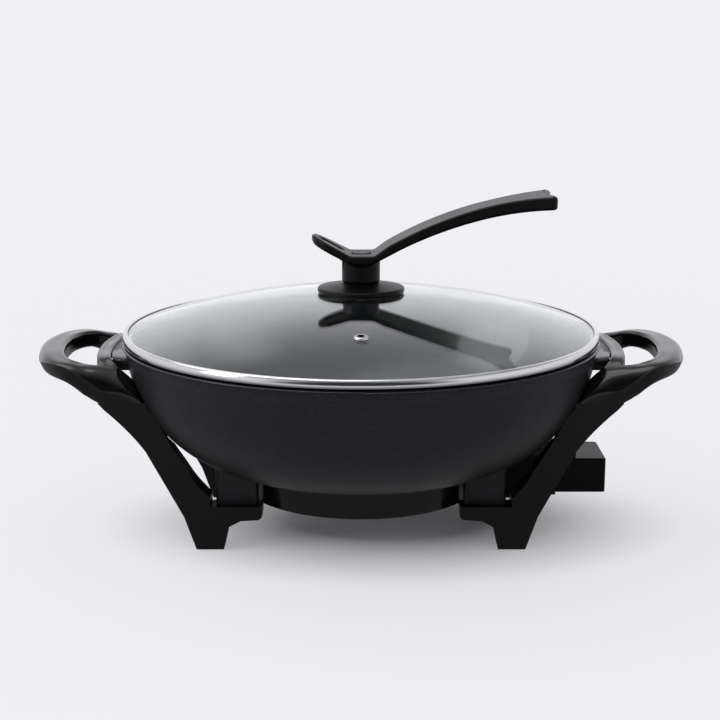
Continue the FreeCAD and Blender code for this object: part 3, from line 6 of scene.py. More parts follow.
import bpy
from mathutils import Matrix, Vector

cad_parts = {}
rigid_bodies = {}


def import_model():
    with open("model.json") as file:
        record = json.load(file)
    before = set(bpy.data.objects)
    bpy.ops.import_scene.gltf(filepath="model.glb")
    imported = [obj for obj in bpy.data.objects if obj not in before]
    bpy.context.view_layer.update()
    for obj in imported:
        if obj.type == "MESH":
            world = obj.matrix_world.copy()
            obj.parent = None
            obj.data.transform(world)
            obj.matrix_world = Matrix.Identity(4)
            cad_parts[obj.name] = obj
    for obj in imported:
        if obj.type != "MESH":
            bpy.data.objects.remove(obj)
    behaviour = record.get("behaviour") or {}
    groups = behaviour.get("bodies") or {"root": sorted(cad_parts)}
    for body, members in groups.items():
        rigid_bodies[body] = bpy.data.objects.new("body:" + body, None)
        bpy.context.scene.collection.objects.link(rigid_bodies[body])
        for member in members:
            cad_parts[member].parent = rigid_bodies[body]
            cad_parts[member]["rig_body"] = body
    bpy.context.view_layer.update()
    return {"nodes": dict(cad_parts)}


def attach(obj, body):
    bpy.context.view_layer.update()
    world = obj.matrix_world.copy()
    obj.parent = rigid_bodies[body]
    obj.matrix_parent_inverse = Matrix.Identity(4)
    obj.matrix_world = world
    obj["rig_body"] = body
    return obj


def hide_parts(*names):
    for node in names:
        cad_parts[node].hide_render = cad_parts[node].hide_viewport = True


bl_info = {
    "name": "Electric Wok",
    "version": (1, 0, 0),
    "blender": (4, 5, 0),
    "location": "View3D > Sidebar > Wok",
    "description": "Finishes and moulded pieces of an electric wok",
    "category": "Object",
}

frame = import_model()
NODES = frame["nodes"]
MM = 0.001


# ---------------------------------------------------------------- colours and nodes

def linear(code):
    """The linear colour of an sRGB hex code such as #3a3b3f."""
    parts = [int(code[i:i + 2], 16) / 255 for i in (1, 3, 5)]
    return (*[p / 12.92 if p <= 0.04045 else ((p + 0.055) / 1.055) ** 2.4 for p in parts], 1.0)


def as_hex(colour):
    """The sRGB hex code of a colour property, which holds sRGB numbers."""
    return "#" + "".join(f"{round(part * 255):02x}" for part in colour[:3])


def from_hex(code):
    """The sRGB numbers that a colour property takes for a hex code."""
    return tuple(int(code[i:i + 2], 16) / 255 for i in (1, 3, 5))


def per_metre(size_mm):
    """The texture scale at which a pattern repeats about every size_mm millimetres."""
    return 1 / (size_mm * MM)


def add(tree, kind, inputs=None, **settings):
    """Adds a node. inputs gives each named or numbered socket a value, or a socket to link from."""
    made = tree.nodes.new(kind)
    for name, value in settings.items():
        setattr(made, name, value)
    for socket, value in (inputs or {}).items():
        if isinstance(value, bpy.types.NodeSocket):
            tree.links.new(value, made.inputs[socket])
        else:
            made.inputs[socket].default_value = value
    return made


def start(name):
    """A new material's tree with only its Object coordinates in it."""
    material = bpy.data.materials.new(name)
    material.use_nodes = True
    tree = material.node_tree
    tree.nodes.clear()
    place = add(tree, "ShaderNodeTexCoord").outputs["Object"]
    return material, tree, place


def close(tree, shader):
    """Ends a material's tree in its output."""
    add(tree, "ShaderNodeOutputMaterial", {"Surface": shader.outputs[0]})


# ---------------------------------------------------------------- materials

def phenolic(name, colour, roughness, grain_mm, grain_depth_mm, index):
    """Compression-moulded phenolic resin: near black, with a soft skin that is a little uneven."""
    material, tree, place = start(name)
    flow = add(tree, "ShaderNodeTexNoise", {"Vector": place, "Scale": per_metre(55), "Detail": 3.0})
    grain = add(tree, "ShaderNodeTexNoise",
                {"Vector": place, "Scale": per_metre(grain_mm), "Detail": 2.0, "Roughness": 0.6})
    tint = add(tree, "ShaderNodeMix",
               {0: flow.outputs["Fac"], 6: linear(colour), 7: lighter(colour, 1.35)},
               data_type="RGBA")
    gloss = add(tree, "ShaderNodeMapRange",
                {"Value": flow.outputs["Fac"], "From Min": 0.3, "From Max": 0.7,
                 "To Min": roughness - 0.03, "To Max": roughness + 0.04})
    skin = add(tree, "ShaderNodeBump",
               {"Height": grain.outputs["Fac"], "Distance": grain_depth_mm * MM, "Strength": 0.6})
    close(tree, add(tree, "ShaderNodeBsdfPrincipled",
                    {"Base Color": tint.outputs[2], "Roughness": gloss.outputs[0],
                     "Normal": skin.outputs[0], "IOR": index}))
    return material


def lighter(code, times):
    """The linear colour of a hex code, this many times as bright."""
    r, g, b, a = linear(code)
    return (r * times, g * times, b * times, a)


def coated_aluminium():
    """Sprayed non-stick coating on die-cast aluminium: charcoal with fine specks, a satin orange
    peel outside and a smoother, glossier cooking surface inside."""
    finish = bpy.context.scene.wok_pan
    material, tree, place = start("sprayed_non_stick_coating")
    sides = place.node.outputs["Normal"]
    cloud = add(tree, "ShaderNodeTexNoise",
                {"Vector": place, "Scale": per_metre(40), "Detail": 4.0})
    spray = add(tree, "ShaderNodeTexNoise",
                {"Vector": place, "Scale": per_metre(finish.speck_mm), "Detail": 2.0,
                 "Roughness": 0.7})
    specks = add(tree, "ShaderNodeMapRange",
                 {"Value": spray.outputs["Fac"], "From Min": 0.56, "From Max": 0.72,
                  "To Min": 0.0, "To Max": 1.0})
    # Only the inside of the bowl faces upwards.
    facing = add(tree, "ShaderNodeSeparateXYZ", {0: sides})
    cooking = add(tree, "ShaderNodeMapRange",
                  {"Value": facing.outputs["Z"], "From Min": 0.02, "From Max": 0.1})
    skin = add(tree, "ShaderNodeMix",
               {0: cooking.outputs[0], 6: linear(as_hex(finish.coating)),
                7: linear(as_hex(finish.inside_coating))}, data_type="RGBA")
    uneven = add(tree, "ShaderNodeMix",
                 {0: cloud.outputs["Fac"], 6: (0.85, 0.85, 0.85, 1), 7: (1.15, 1.15, 1.15, 1)},
                 data_type="RGBA")
    cloudy = add(tree, "ShaderNodeMix", {0: 1.0, 6: skin.outputs[2], 7: uneven.outputs[2]},
                 data_type="RGBA", blend_type="MULTIPLY")
    tint = add(tree, "ShaderNodeMix",
               {0: specks.outputs[0], 6: cloudy.outputs[2], 7: linear(as_hex(finish.specks))},
               data_type="RGBA")
    smoother = add(tree, "ShaderNodeMapRange",
                   {"Value": cooking.outputs[0], "To Min": finish.roughness,
                    "To Max": finish.inside_roughness})
    spread = add(tree, "ShaderNodeMapRange",
                 {"Value": spray.outputs["Fac"], "From Min": 0.3, "From Max": 0.7,
                  "To Min": 0.03, "To Max": -0.02})
    sheen = add(tree, "ShaderNodeMath", {0: smoother.outputs[0], 1: spread.outputs[0]},
                operation="ADD")
    peel_share = add(tree, "ShaderNodeMapRange",
                     {"Value": cooking.outputs[0], "To Min": 0.3, "To Max": 0.08})
    peel = add(tree, "ShaderNodeBump",
               {"Height": spray.outputs["Fac"], "Distance": 0.04 * MM,
                "Strength": peel_share.outputs[0]})
    close(tree, add(tree, "ShaderNodeBsdfPrincipled",
                    {"Base Color": tint.outputs[2], "Roughness": sheen.outputs[0],
                     "Normal": peel.outputs[0], "IOR": 1.42}))
    return material


def tempered_glass():
    """Pressed soda-lime glass, tempered: clear, with the faint green that soda-lime has on edge."""
    material, tree, place = start("tempered_soda_lime_glass")
    ripple = add(tree, "ShaderNodeTexNoise",
                 {"Vector": place, "Scale": per_metre(70), "Detail": 1.0})
    wave = add(tree, "ShaderNodeBump",
               {"Height": ripple.outputs["Fac"], "Distance": 0.15 * MM, "Strength": 0.35})
    close(tree, add(tree, "ShaderNodeBsdfPrincipled",
                    {"Base Color": linear("#f4f9f7"), "Roughness": 0.0, "Normal": wave.outputs[0],
                     "IOR": 1.52, "Transmission Weight": 1.0}))
    return material


WAVE_TURN = 20          # the radians that a Wave texture of scale 1 runs through in each metre


def turned_metal(name, colour, roughness, ring_mm, ring_depth_mm):
    """Metal polished on a lathe: bright, with faint rings round the upright axis. They are drawn
    coarser than the real hairlines, which are too fine to show."""
    material, tree, place = start(name)
    rings = add(tree, "ShaderNodeTexWave",
                {"Vector": place, "Scale": per_metre(ring_mm) * math.tau / WAVE_TURN,
                 "Distortion": 6.0, "Detail": 3.0, "Detail Scale": 2.0},
                wave_type="RINGS", rings_direction="Z")
    haze = add(tree, "ShaderNodeTexNoise", {"Vector": place, "Scale": per_metre(25), "Detail": 3.0})
    gloss = add(tree, "ShaderNodeMapRange",
                {"Value": haze.outputs["Fac"], "From Min": 0.3, "From Max": 0.7,
                 "To Min": roughness * 0.8, "To Max": roughness * 1.3})
    lines = add(tree, "ShaderNodeBump",
                {"Height": rings.outputs["Fac"], "Distance": ring_depth_mm * MM, "Strength": 0.5})
    close(tree, add(tree, "ShaderNodeBsdfPrincipled",
                    {"Base Color": linear(colour), "Metallic": 1.0, "Roughness": gloss.outputs[0],
                     "Normal": lines.outputs[0]}))
    return material


def rolled_sheet(name, colour, roughness, line_mm):
    """Rolled sheet metal: satin, with fine lines along its length from the rollers, about thirty
    times as long as they are wide."""
    material, tree, place = start(name)
    drawn = add(tree, "ShaderNodeMapping", {"Vector": place, "Scale": (0.03, 1.0, 1.0)})
    lines = add(tree, "ShaderNodeTexNoise",
                {"Vector": drawn.outputs[0], "Scale": per_metre(line_mm), "Detail": 2.0})
    gloss = add(tree, "ShaderNodeMapRange",
                {"Value": lines.outputs["Fac"], "From Min": 0.3, "From Max": 0.7,
                 "To Min": roughness - 0.06, "To Max": roughness + 0.08})
    tint = add(tree, "ShaderNodeMix",
               {0: lines.outputs["Fac"], 6: lighter(colour, 0.8), 7: linear(colour)},
               data_type="RGBA")
    relief = add(tree, "ShaderNodeBump",
                 {"Height": lines.outputs["Fac"], "Distance": 0.03 * MM, "Strength": 0.5})
    close(tree, add(tree, "ShaderNodeBsdfPrincipled",
                    {"Base Color": tint.outputs[2], "Metallic": 1.0, "Roughness": gloss.outputs[0],
                     "Normal": relief.outputs[0]}))
    return material


def heated_sheath():
    """Nickel-iron heater sheath, oxidised by heat: dull grey-brown in uneven clouds."""
    material, tree, place = start("oxidised_heater_sheath")
    heat = add(tree, "ShaderNodeTexNoise", {"Vector": place, "Scale": per_metre(18), "Detail": 5.0})
    tint = add(tree, "ShaderNodeMix",
               {0: heat.outputs["Fac"], 6: linear("#4a4540"), 7: linear("#7a746c")},
               data_type="RGBA")
    close(tree, add(tree, "ShaderNodeBsdfPrincipled",
                    {"Base Color": tint.outputs[2], "Metallic": 0.8, "Roughness": 0.52}))
    return material


def rubber(name, colour):
    """Moulded silicone rubber: matt, faintly dusty in uneven patches."""
    material, tree, place = start(name)
    dust = add(tree, "ShaderNodeTexNoise", {"Vector": place, "Scale": per_metre(3), "Detail": 4.0})
    tint = add(tree, "ShaderNodeMix",
               {0: dust.outputs["Fac"], 6: linear(colour), 7: lighter(colour, 1.6)},
               data_type="RGBA")
    skin = add(tree, "ShaderNodeBump",
               {"Height": dust.outputs["Fac"], "Distance": 0.06 * MM, "Strength": 0.5})
    close(tree, add(tree, "ShaderNodeBsdfPrincipled",
                    {"Base Color": tint.outputs[2], "Roughness": 0.78, "Normal": skin.outputs[0],
                     "IOR": 1.41}))
    return material


def fired_ceramic():
    """Pressed and fired steatite: cream white, matt, with tiny pores."""
    material, tree, place = start("fired_steatite")
    pores = add(tree, "ShaderNodeTexVoronoi", {"Vector": place, "Scale": per_metre(1.2)})
    tint = add(tree, "ShaderNodeMix",
               {0: pores.outputs["Distance"], 6: linear("#cfc8b8"), 7: linear("#e6e1d4")},
               data_type="RGBA")
    close(tree, add(tree, "ShaderNodeBsdfPrincipled",
                    {"Base Color": tint.outputs[2], "Roughness": 0.6, "IOR": 1.6}))
    return material


def lamp_lens():
    """Dyed polycarbonate lens: glossy deep red that lets a little light into its body."""
    material, tree, place = start("dyed_polycarbonate_lens")
    depth = add(tree, "ShaderNodeTexNoise", {"Vector": place, "Scale": per_metre(4), "Detail": 1.0})
    tint = add(tree, "ShaderNodeMix",
               {0: depth.outputs["Fac"], 6: linear("#6e0c08"), 7: linear("#a3160e")},
               data_type="RGBA")
    close(tree, add(tree, "ShaderNodeBsdfPrincipled",
                    {"Base Color": tint.outputs[2], "Roughness": 0.12, "IOR": 1.58,
                     "Coat Weight": 0.5}))
    return material


def make_materials():
    """Every finish of the wok, by the plain name that the pieces ask for. The resins' index is
    under that of bare polished resin, and least where a fine moulded texture scatters the gloss."""
    plastic = bpy.context.scene.wok_plastic
    gloss, satin = as_hex(plastic.gloss_colour), as_hex(plastic.satin_colour)
    return {
        "coating": coated_aluminium(),
        "glass": tempered_glass(),
        "rim_steel": turned_metal("polished_stainless_steel", "#c3c3c5", 0.12, 5.03, 0.01),
        "screw_steel": turned_metal("zinc_plated_steel", "#b9bab8", 0.32, 3.14, 0.02),
        "nickel": turned_metal("nickel_plated_brass", "#cbc6bc", 0.2, 3.14, 0.01),
        "brass": turned_metal("turned_brass", "#c9a35a", 0.3, 3.14, 0.02),
        "sheet": rolled_sheet("aluminised_steel_sheet", "#a9abad", 0.38, 0.6),
        "sheath": heated_sheath(),
        "gloss": phenolic("gloss_phenolic", gloss, plastic.gloss_roughness, 2.4, 0.02, 1.45),
        "handle": phenolic("handle_phenolic", gloss, 0.36, 1.2, 0.05, 1.22),
        "satin": phenolic("satin_phenolic", satin, plastic.satin_roughness, 0.7, 0.04, 1.34),
        "rubber": rubber("silicone_rubber", "#141414"),
        "ceramic": fired_ceramic(),
        "lens": lamp_lens(),
    }


MADE = {}


def finish_of(name):
    """The finished material of this plain name, made once for the whole wok."""
    if not MADE:
        MADE.update(make_materials())
    return MADE[name]


def paint(piece, finish):
    """Gives a piece one finish all over."""
    piece.data.materials.clear()
    piece.data.materials.append(finish_of(finish))


def smooth(piece, degrees):
    """Shades a piece smooth, apart from edges sharper than this."""
    select_only(piece)
    bpy.ops.object.shade_smooth_by_angle(angle=math.radians(degrees), keep_sharp_edges=False)


# ---------------------------------------------------------------- modelling helpers

def select_only(piece):
    """Selects this object alone and makes it the active one."""
    bpy.ops.object.select_all(action="DESELECT")
    piece.select_set(True)
    bpy.context.view_layer.objects.active = piece


def apply_modifiers(piece):
    """Turns a piece's modifiers into mesh, in their order."""
    select_only(piece)
    for name in [modifier.name for modifier in piece.modifiers]:
        bpy.ops.object.modifier_apply(modifier=name)


def merged_copy(node, name):
    """A copy of a CAD node's mesh with its loose triangles joined."""
    piece = bpy.data.objects.new(name, NODES[node].data.copy())
    bpy.context.scene.collection.objects.link(piece)
    select_only(piece)
    bpy.ops.object.mode_set(mode="EDIT")
    bpy.ops.mesh.select_all(action="SELECT")
    bpy.ops.mesh.remove_doubles(threshold=0.005 * MM)
    bpy.ops.object.mode_set(mode="OBJECT")
    return piece


def moulded_copy(node, finish, edge_mm, segments=2, sharper_than=32, shape=None, clamp=True):
    """A copy of a CAD node whose sharp edges get the small radius that a mould gives them."""
    piece = merged_copy(node, f"{node}_moulded")
    if shape:
        shape(piece)
    bpy.ops.object.mode_set(mode="EDIT")
    bpy.ops.mesh.select_all(action="SELECT")
    bpy.ops.mesh.dissolve_limited(angle_limit=math.radians(0.3))
    bpy.ops.object.mode_set(mode="OBJECT")
    edge = piece.modifiers.new("mould_radius", "BEVEL")
    edge.width = edge_mm * MM
    edge.segments = segments
    edge.limit_method = "ANGLE"
    edge.angle_limit = math.radians(sharper_than)
    edge.miter_outer = "MITER_ARC"
    edge.use_clamp_overlap = clamp
    smooth_faces(piece)
    paint(piece, finish)
    stand_in(piece, node)
    return piece


def smooth_faces(piece):
    """Shades a piece smooth with its broad flat faces left flat, and applies its modifiers."""
    weigh = piece.modifiers.new("flat_faces_lead", "WEIGHTED_NORMAL")
    weigh.keep_sharp = True
    smooth(piece, 35)
    apply_modifiers(piece)


def face_outwards(piece):
    """Turns all of a closed piece's faces to the outside."""
    select_only(piece)
    bpy.ops.object.mode_set(mode="EDIT")
    bpy.ops.mesh.select_all(action="SELECT")
    bpy.ops.mesh.normals_make_consistent(inside=False)
    bpy.ops.object.mode_set(mode="OBJECT")


def stand_in(piece, node):
    """Makes a piece take a CAD node's place and on its body."""
    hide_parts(node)
    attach(piece, NODES[node]["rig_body"])


def lathe(name, outline, steps):
    """Spins a closed outline of (radius, height) points in millimetres round the upright axis."""
    bpy.ops.object.select_all(action="DESELECT")
    bpy.ops.mesh.primitive_circle_add(vertices=len(outline), radius=0.01, location=(0, 0, 0))
    piece = bpy.context.object
    piece.name = name
    place_points(piece, {i: Vector((r, 0, z)) for i, (r, z) in enumerate(outline)})
    bpy.ops.object.mode_set(mode="EDIT")
    bpy.ops.mesh.select_all(action="SELECT")
    bpy.ops.mesh.spin(steps=steps, angle=math.tau, center=(0, 0, 0), axis=(0, 0, 1))
    bpy.ops.mesh.select_all(action="SELECT")
    bpy.ops.mesh.remove_doubles(threshold=0.002 * MM)
    bpy.ops.object.mode_set(mode="OBJECT")
    face_outwards(piece)
    return piece


def arc(centre, radii, first, last, steps):
    """Points along part of an ellipse, as (radius, height) in millimetres, angles in degrees."""
    turns = [math.radians(first + (last - first) * i / steps) for i in range(steps + 1)]
    return [(centre[0] + radii[0] * math.cos(t), centre[1] + radii[1] * math.sin(t)) for t in turns]


# ---------------------------------------------------------------- settings

def colour_setting(name, description, code):
    """A colour property whose default is a hex code."""
    return bpy.props.FloatVectorProperty(
        name=name, description=description, default=from_hex(code), size=3, min=0.0, max=1.0,
        subtype="COLOR_GAMMA")


class WokPanSettings(bpy.types.PropertyGroup):
    """The pan's coating."""
    coating: colour_setting("Coating", "Colour of the non-stick coating", "#17181b")
    inside_coating: colour_setting(
        "Inside coating", "Colour of the smoother coating on the cooking surface", "#1e1f22")
    specks: colour_setting("Specks", "Colour of the fine specks in the coating", "#33353a")
    speck_mm: bpy.props.FloatProperty(
        name="Speck size", default=0.8, min=0.1, max=5.0,
        description="Size of the specks in millimetres, drawn as coarse as shows")
    roughness: bpy.props.FloatProperty(
        name="Roughness", description="Roughness of the coating outside", default=0.42, min=0.05,
        max=1.0, subtype="FACTOR")
    inside_roughness: bpy.props.FloatProperty(
        name="Inside roughness", description="Roughness of the cooking surface", default=0.22,
        min=0.05, max=1.0, subtype="FACTOR")


class WokPlasticSettings(bpy.types.PropertyGroup):
    """The moulded grips, legs, ring, handle and controller."""
    gloss_colour: colour_setting(
        "Gloss colour", "Colour of the grips, ring, lid handle and controller", "#08080a")
    satin_colour: colour_setting(
        "Satin colour", "Colour of the legs, the socket's shroud and the dial", "#101012")
    gloss_roughness: bpy.props.FloatProperty(
        name="Gloss roughness", description="Roughness of the grips and the stand's ring",
        default=0.17, min=0.05, max=1.0, subtype="FACTOR")
    satin_roughness: bpy.props.FloatProperty(
        name="Satin roughness", description="Roughness of the legs, the shroud and the dial",
        default=0.42, min=0.05, max=1.0, subtype="FACTOR")
    edge: bpy.props.FloatProperty(
        name="Edge radius", description="Radius that the edges of the handle and legs start from",
        default=0.0012, min=0.0002, max=0.004, unit="LENGTH")


class WokStageSettings(bpy.types.PropertyGroup):
    """The floor, the light and the camera."""
    floor: colour_setting("Floor", "Colour of the floor", "#f0f0f4")
    backdrop: colour_setting("Backdrop", "Colour behind the wok", "#f0f0f4")
    # Floor glow is painted light: the share of the backdrop's tone laid over the matt floor round
    # the wok, which lifts its rendered shadow there.
    floor_glow: bpy.props.FloatProperty(
        name="Floor glow", default=0.78, min=0.0, max=1.0, subtype="FACTOR",
        description="Share of the floor's tone round the wok that shadows don't reach")
    # Near gloss sets a painted reflection: how bright a gloss shows a painted floor tone close to
    # the wok, darker there as painted shade.
    near_gloss: bpy.props.FloatProperty(
        name="Near floor in gloss", description="How bright a gloss shows the floor close by",
        default=0.3, min=0.0, max=1.0, subtype="FACTOR")
    front_tone: bpy.props.FloatProperty(
        name="Front tone", default=0.05, min=0.0, max=1.0, subtype="FACTOR",
        description="How bright a gloss shows the unlit room in front of the wok")
    top_tone: bpy.props.FloatProperty(
        name="Ceiling tone", default=0.5, min=0.0, max=2.0,
        description="How bright a gloss shows the room round the silk overhead")
    wall_tone: bpy.props.FloatProperty(
        name="Wall tone", description="How bright a gloss shows the lit walls beside and behind",
        default=1.25, min=0.0, max=2.0)
    left_window: bpy.props.FloatVectorProperty(
        name="Left window", description="Direction of the bright window on the left",
        default=(-0.9, -0.07, 0.42), subtype="DIRECTION")
    left_tone: bpy.props.FloatProperty(
        name="Left window tone", description="How bright a gloss under the glass shows it",
        default=9.0, min=0.0, max=20.0)
    right_window: bpy.props.FloatVectorProperty(
        name="Right window", description="Direction of the bright window on the right",
        default=(0.85, -0.27, 0.42), subtype="DIRECTION")
    right_tone: bpy.props.FloatProperty(
        name="Right window tone", description="How bright a gloss under the glass shows it",
        default=5.0, min=0.0, max=20.0)
    silk_tone: bpy.props.FloatProperty(
        name="Silk tone", description="How bright a gloss shows the lit silk overhead",
        default=1.1, min=0.0, max=4.0)
    silk_strength: bpy.props.FloatProperty(
        name="Silk strength", description="Light from the silk overhead, in watts a square metre",
        default=1.5, min=0.0, max=20.0)
    silk_spread: bpy.props.FloatProperty(
        name="Silk spread", description="How wide the silk looks from the wok",
        default=math.radians(60), min=0.0, max=math.pi, subtype="ANGLE")
    softbox_watts: bpy.props.FloatProperty(
        name="Softbox power", description="Power of the softbox on the left", default=4.0, min=0.0,
        max=500.0, unit="POWER")
    camera_distance: bpy.props.FloatProperty(
        name="Camera distance", description="Distance from the camera to the wok's upright axis",
        default=1.05465, min=0.3, max=5.0, unit="LENGTH")
    camera_height: bpy.props.FloatProperty(
        name="Camera height", description="Height of the camera above the floor", default=0.36618,
        min=0.0, max=3.0, unit="LENGTH")
    camera_dip: bpy.props.FloatProperty(
        name="Camera dip", description="How far the camera looks down",
        default=math.radians(12.694), min=0.0, max=1.5, subtype="ANGLE")
    lens: bpy.props.FloatProperty(
        name="Lens", description="Focal length in millimetres on a 36 mm sensor", default=70.39,
        min=20.0, max=200.0)


# ---------------------------------------------------------------- pieces

def ease(low, high, value):
    """Rises smoothly from 0 at low to 1 at high."""
    share = min(1.0, max(0.0, (value - low) / (high - low)))
    return share * share * (3 - 2 * share)


# Millimetres, from here to the stage.
FLANGE_MIDDLE = 148.0   # a height between the flange's two faces
FLANGE_EDGE = 182.0     # a radius past the flange, on the ears
FLANGE_FALL = 1.3       # how far the flange's top falls away under the lid's rim
FALL_START, FALL_END = 175.5, 178.5     # the radii between which it does


class WOK_OT_pan(bpy.types.Operator):
    """Coats the bowl, and lets the top of its flange fall away under the lid's rim."""
    bl_idname = "wok.pan"
    bl_label = "Pan"

    def execute(self, context):
        pan = merged_copy("pan", "pan_coated")
        for point in pan.data.vertices:
            out = math.hypot(point.co.x, point.co.y) / MM
            if point.co.z > FLANGE_MIDDLE * MM and out < FLANGE_EDGE:
                point.co.z -= FLANGE_FALL * MM * ease(FALL_START, FALL_END, out)
        smooth_faces(pan)
        paint(pan, "coating")
        stand_in(pan, "pan")
        return {"FINISHED"}


def rim_outline():
    """The rim's section: a lip over the glass, a full shoulder, a short wall and a skirt inside."""
    return [(176.0, 155.15), (176.1, 155.4), (176.5, 155.5),
            *arc((177.8, 150.8), (2.2, 4.7), 90, 0, 18),
            *arc((179.5, 150.1), (0.5, 0.5), 0, -90, 4),
            (173.3, 149.6), (173.0, 149.3), (173.0, 145.3), (172.7, 145.1), (172.4, 145.3),
            (172.4, 150.2), (179.35, 150.2),
            *arc((177.8, 150.8), (1.6, 4.1), 0, 90, 10), (176.4, 154.9), (176.1, 154.98)]


class WOK_OT_lid(bpy.types.Operator):
    """Finishes the lid's glass, its rim and what is fixed to them."""
    bl_idname = "wok.lid"
    bl_label = "Lid"

    def execute(self, context):
        paint(NODES["lid_glass"], "glass")
        NODES["lid_glass"].visible_shadow = False
        paint(NODES["lid_vent_grommet"], "rim_steel")
        rim = lathe("lid_rim_rolled", rim_outline(), steps=240)
        smooth(rim, 50)
        paint(rim, "rim_steel")
        stand_in(rim, "lid_rim")
        for node in ("lid_screw_washer", "lid_screw"):
            paint(NODES[node], "screw_steel")
        for node in ("lid_knob_seal", "lid_screw_seal"):
            paint(NODES[node], "rubber")
        paint(NODES["lid_insert"], "brass")
        return {"FINISHED"}


HANDLE_EDGE, LEG_EDGE = 1.9, 1.6    # their edges' radii, as shares of the set radius


class WOK_OT_handle(bpy.types.Operator):
    """Moulds the lid's knob disc and its bowed handle."""
    bl_idname = "wok.handle"
    bl_label = "Lid handle"

    def execute(self, context):
        edge = context.scene.wok_plastic.edge / MM
        moulded_copy("lid_handle_arm", "handle", edge * HANDLE_EDGE, segments=5, clamp=False)
        moulded_copy("lid_knob_base", "handle", edge_mm=0.5)
        moulded_copy("lid_handle_cap", "handle", edge_mm=0.3)
        return {"FINISHED"}


# The front half of a grip, as sections through its bar from the stand's seam up the shank, along
# the loop's arm and round to the middle of the grasped end. Each row is the section's middle
# (x, y, z), the turn of its outer face from +X, the tip of its top towards the bowl, its half width
# and half height, the width of its sloping shoulder, how high the crease is above its underside,
# and how far the underside is drawn in below the crease. Millimetres and degrees.
GRIP_SECTIONS = (
    (162.6, -61.0, 98.0, -90, 90.0, 9.0, 14.8, 3.2, 3.2, 3.2),
    (171.2, -61.0, 109.5, -90, 88.2, 9.0, 15.6, 3.5, 3.5, 3.2),
    (175.3, -61.0, 115.1, -90, 74.7, 9.0, 14.8, 6.0, 4.5, 3.5),
    (179.8, -61.0, 119.5, -90, 60.9, 9.0, 14.3, 10.0, 7.0, 4.0),
    (185.1, -61.0, 123.8, -90, 45.9, 9.0, 13.8, 14.0, 9.0, 4.2),
    (190.2, -61.0, 125.9, -90, 35.8, 9.0, 12.2, 14.5, 10.0, 4.2),
    (196.0, -61.5, 127.7, -90, 27.8, 8.8, 10.7, 13.0, 10.0, 4.2),
    (201.9, -61.5, 129.3, -90, 18.1, 8.5, 9.1, 11.5, 9.8, 4.0),
    (206.7, -61.3, 131.1, -74, 8.0, 8.8, 7.7, 9.5, 10.6, 3.5),
    (214.3, -59.6, 133.7, -56, 0.0, 8.6, 6.7, 8.0, 10.2, 3.0),
    (222.3, -53.0, 134.7, -39, 0.0, 8.7, 6.4, 7.0, 9.2, 2.8),
    (228.5, -42.5, 135.0, -22, 0.0, 9.2, 6.6, 7.0, 7.8, 3.0),
    (232.4, -30.0, 135.3, -12, 0.0, 9.6, 6.7, 6.8, 5.4, 3.5),
    (234.5, -14.8, 135.3, -3, 0.0, 10.0, 6.7, 5.6, 5.2, 4.4),
    (235.3, 0.0, 135.3, 0, 0.0, 10.1, 6.7, 5.4, 5.4, 4.5),
)
GRIP_SKEW, SKEW_ARM = 3.0, 40.0     # how much further the loop reaches, this far behind its middle
LOOP_START, LOOP_ROOT = 200.0, 25.0     # where the loop starts, and how far its root goes on
GRIP_RIM = 2.2          # radius along the finger hole's upper and lower rim
SHOULDER_LEAST = 1.2    # the least that is left between a section's shoulder and its crease
SHOULDER_FALL = 1.15    # how much taller than wide a shoulder may be
SHOULDER_ROUND = 0.293  # how far its middle is drawn in, as a share, which makes it round
GRIP_WALL = 12.5        # how far below its top the middle of a section's inner face is taken
WEB_ROWS = (4, 5, 6)    # the sections that the web between the shanks grows from
WEB_INNER, WEB_OUTER = 188.1, 199.2     # the radii of its two faces
WEB_CORNERS = (1.0, 1.2)    # how far its corners are drawn in, on each of them
WEB_STEPS = ((46.0, 140.2), (24.0, 140.6), (0.0, 140.8))    # distance from the middle, and top
WEB_BOTTOM = 128.4      # the height of its underside
SEAM = 110.0            # where a grip stands on its legs
SEAT_FLOOR = 191.9      # how far out the heads of the web's two screws sit
SEAT_RADIUS, SEAT_REACH = 4.4, 20.0     # a head's seat is this wide, and open this far outwards
SCREW_ASIDE, SCREW_HEIGHT = 32.0, 135.5     # a screw's place from the middle plane, and its height


def grip_section(row):
    """The twelve points of one section of a grip, from the finger hole's upper rim down."""
    x, y, z, turn, tip, wide, tall, shoulder, high, deep = row
    out = Vector((math.cos(math.radians(turn)), math.sin(math.radians(turn)), 0))
    up = Vector((-math.sin(math.radians(tip)), 0, math.cos(math.radians(tip))))
    drop = min(2 * tall - high - SHOULDER_LEAST, SHOULDER_FALL * shoulder)
    inner, outer = GRIP_RIM - wide, wide - shoulder
    outline = ((inner, tall), (-wide, tall - GRIP_RIM), (-wide, max(0.0, tall - GRIP_WALL)),
               (-wide, GRIP_RIM - tall), (inner, -tall), ((inner + wide - deep) / 2, -tall),
               (wide - deep, -tall), (wide - deep * 0.1, high - tall), (wide, tall - drop),
               (wide - SHOULDER_ROUND * shoulder, tall - SHOULDER_ROUND * drop), (outer, tall),
               ((inner + outer) / 2, tall))
    return [Vector((x, y, z)) + out * across + up * rise for across, rise in outline]


def web_ring(step):
    """Where the web's corner, edge and middle points lie at one distance from the middle."""
    reach, top = WEB_STEPS[step]
    low, middle = WEB_BOTTOM, (top + WEB_BOTTOM) / 2
    inner, outer = WEB_INNER, WEB_OUTER
    centre = (inner + outer) / 2
    near, far = inner + WEB_CORNERS[0], outer - WEB_CORNERS[1]
    spots = {(0, 0): (near, top), (1, 0): (centre, top), (2, 0): (far, top),
             (0, 1): (inner, middle), (1, 1): (centre, middle), (2, 1): (outer, middle),
             (0, 2): (near, low), (1, 2): (centre, low), (2, 2): (far, low)}
    return {key: Vector((math.sqrt(radius ** 2 - reach ** 2), -reach, height))
            for key, (radius, height) in spots.items()}


def place_points(piece, places):
    """Moves vertices, each by its number, to places in millimetres."""
    for number, place in places.items():
        piece.data.vertices[number].co = place * MM


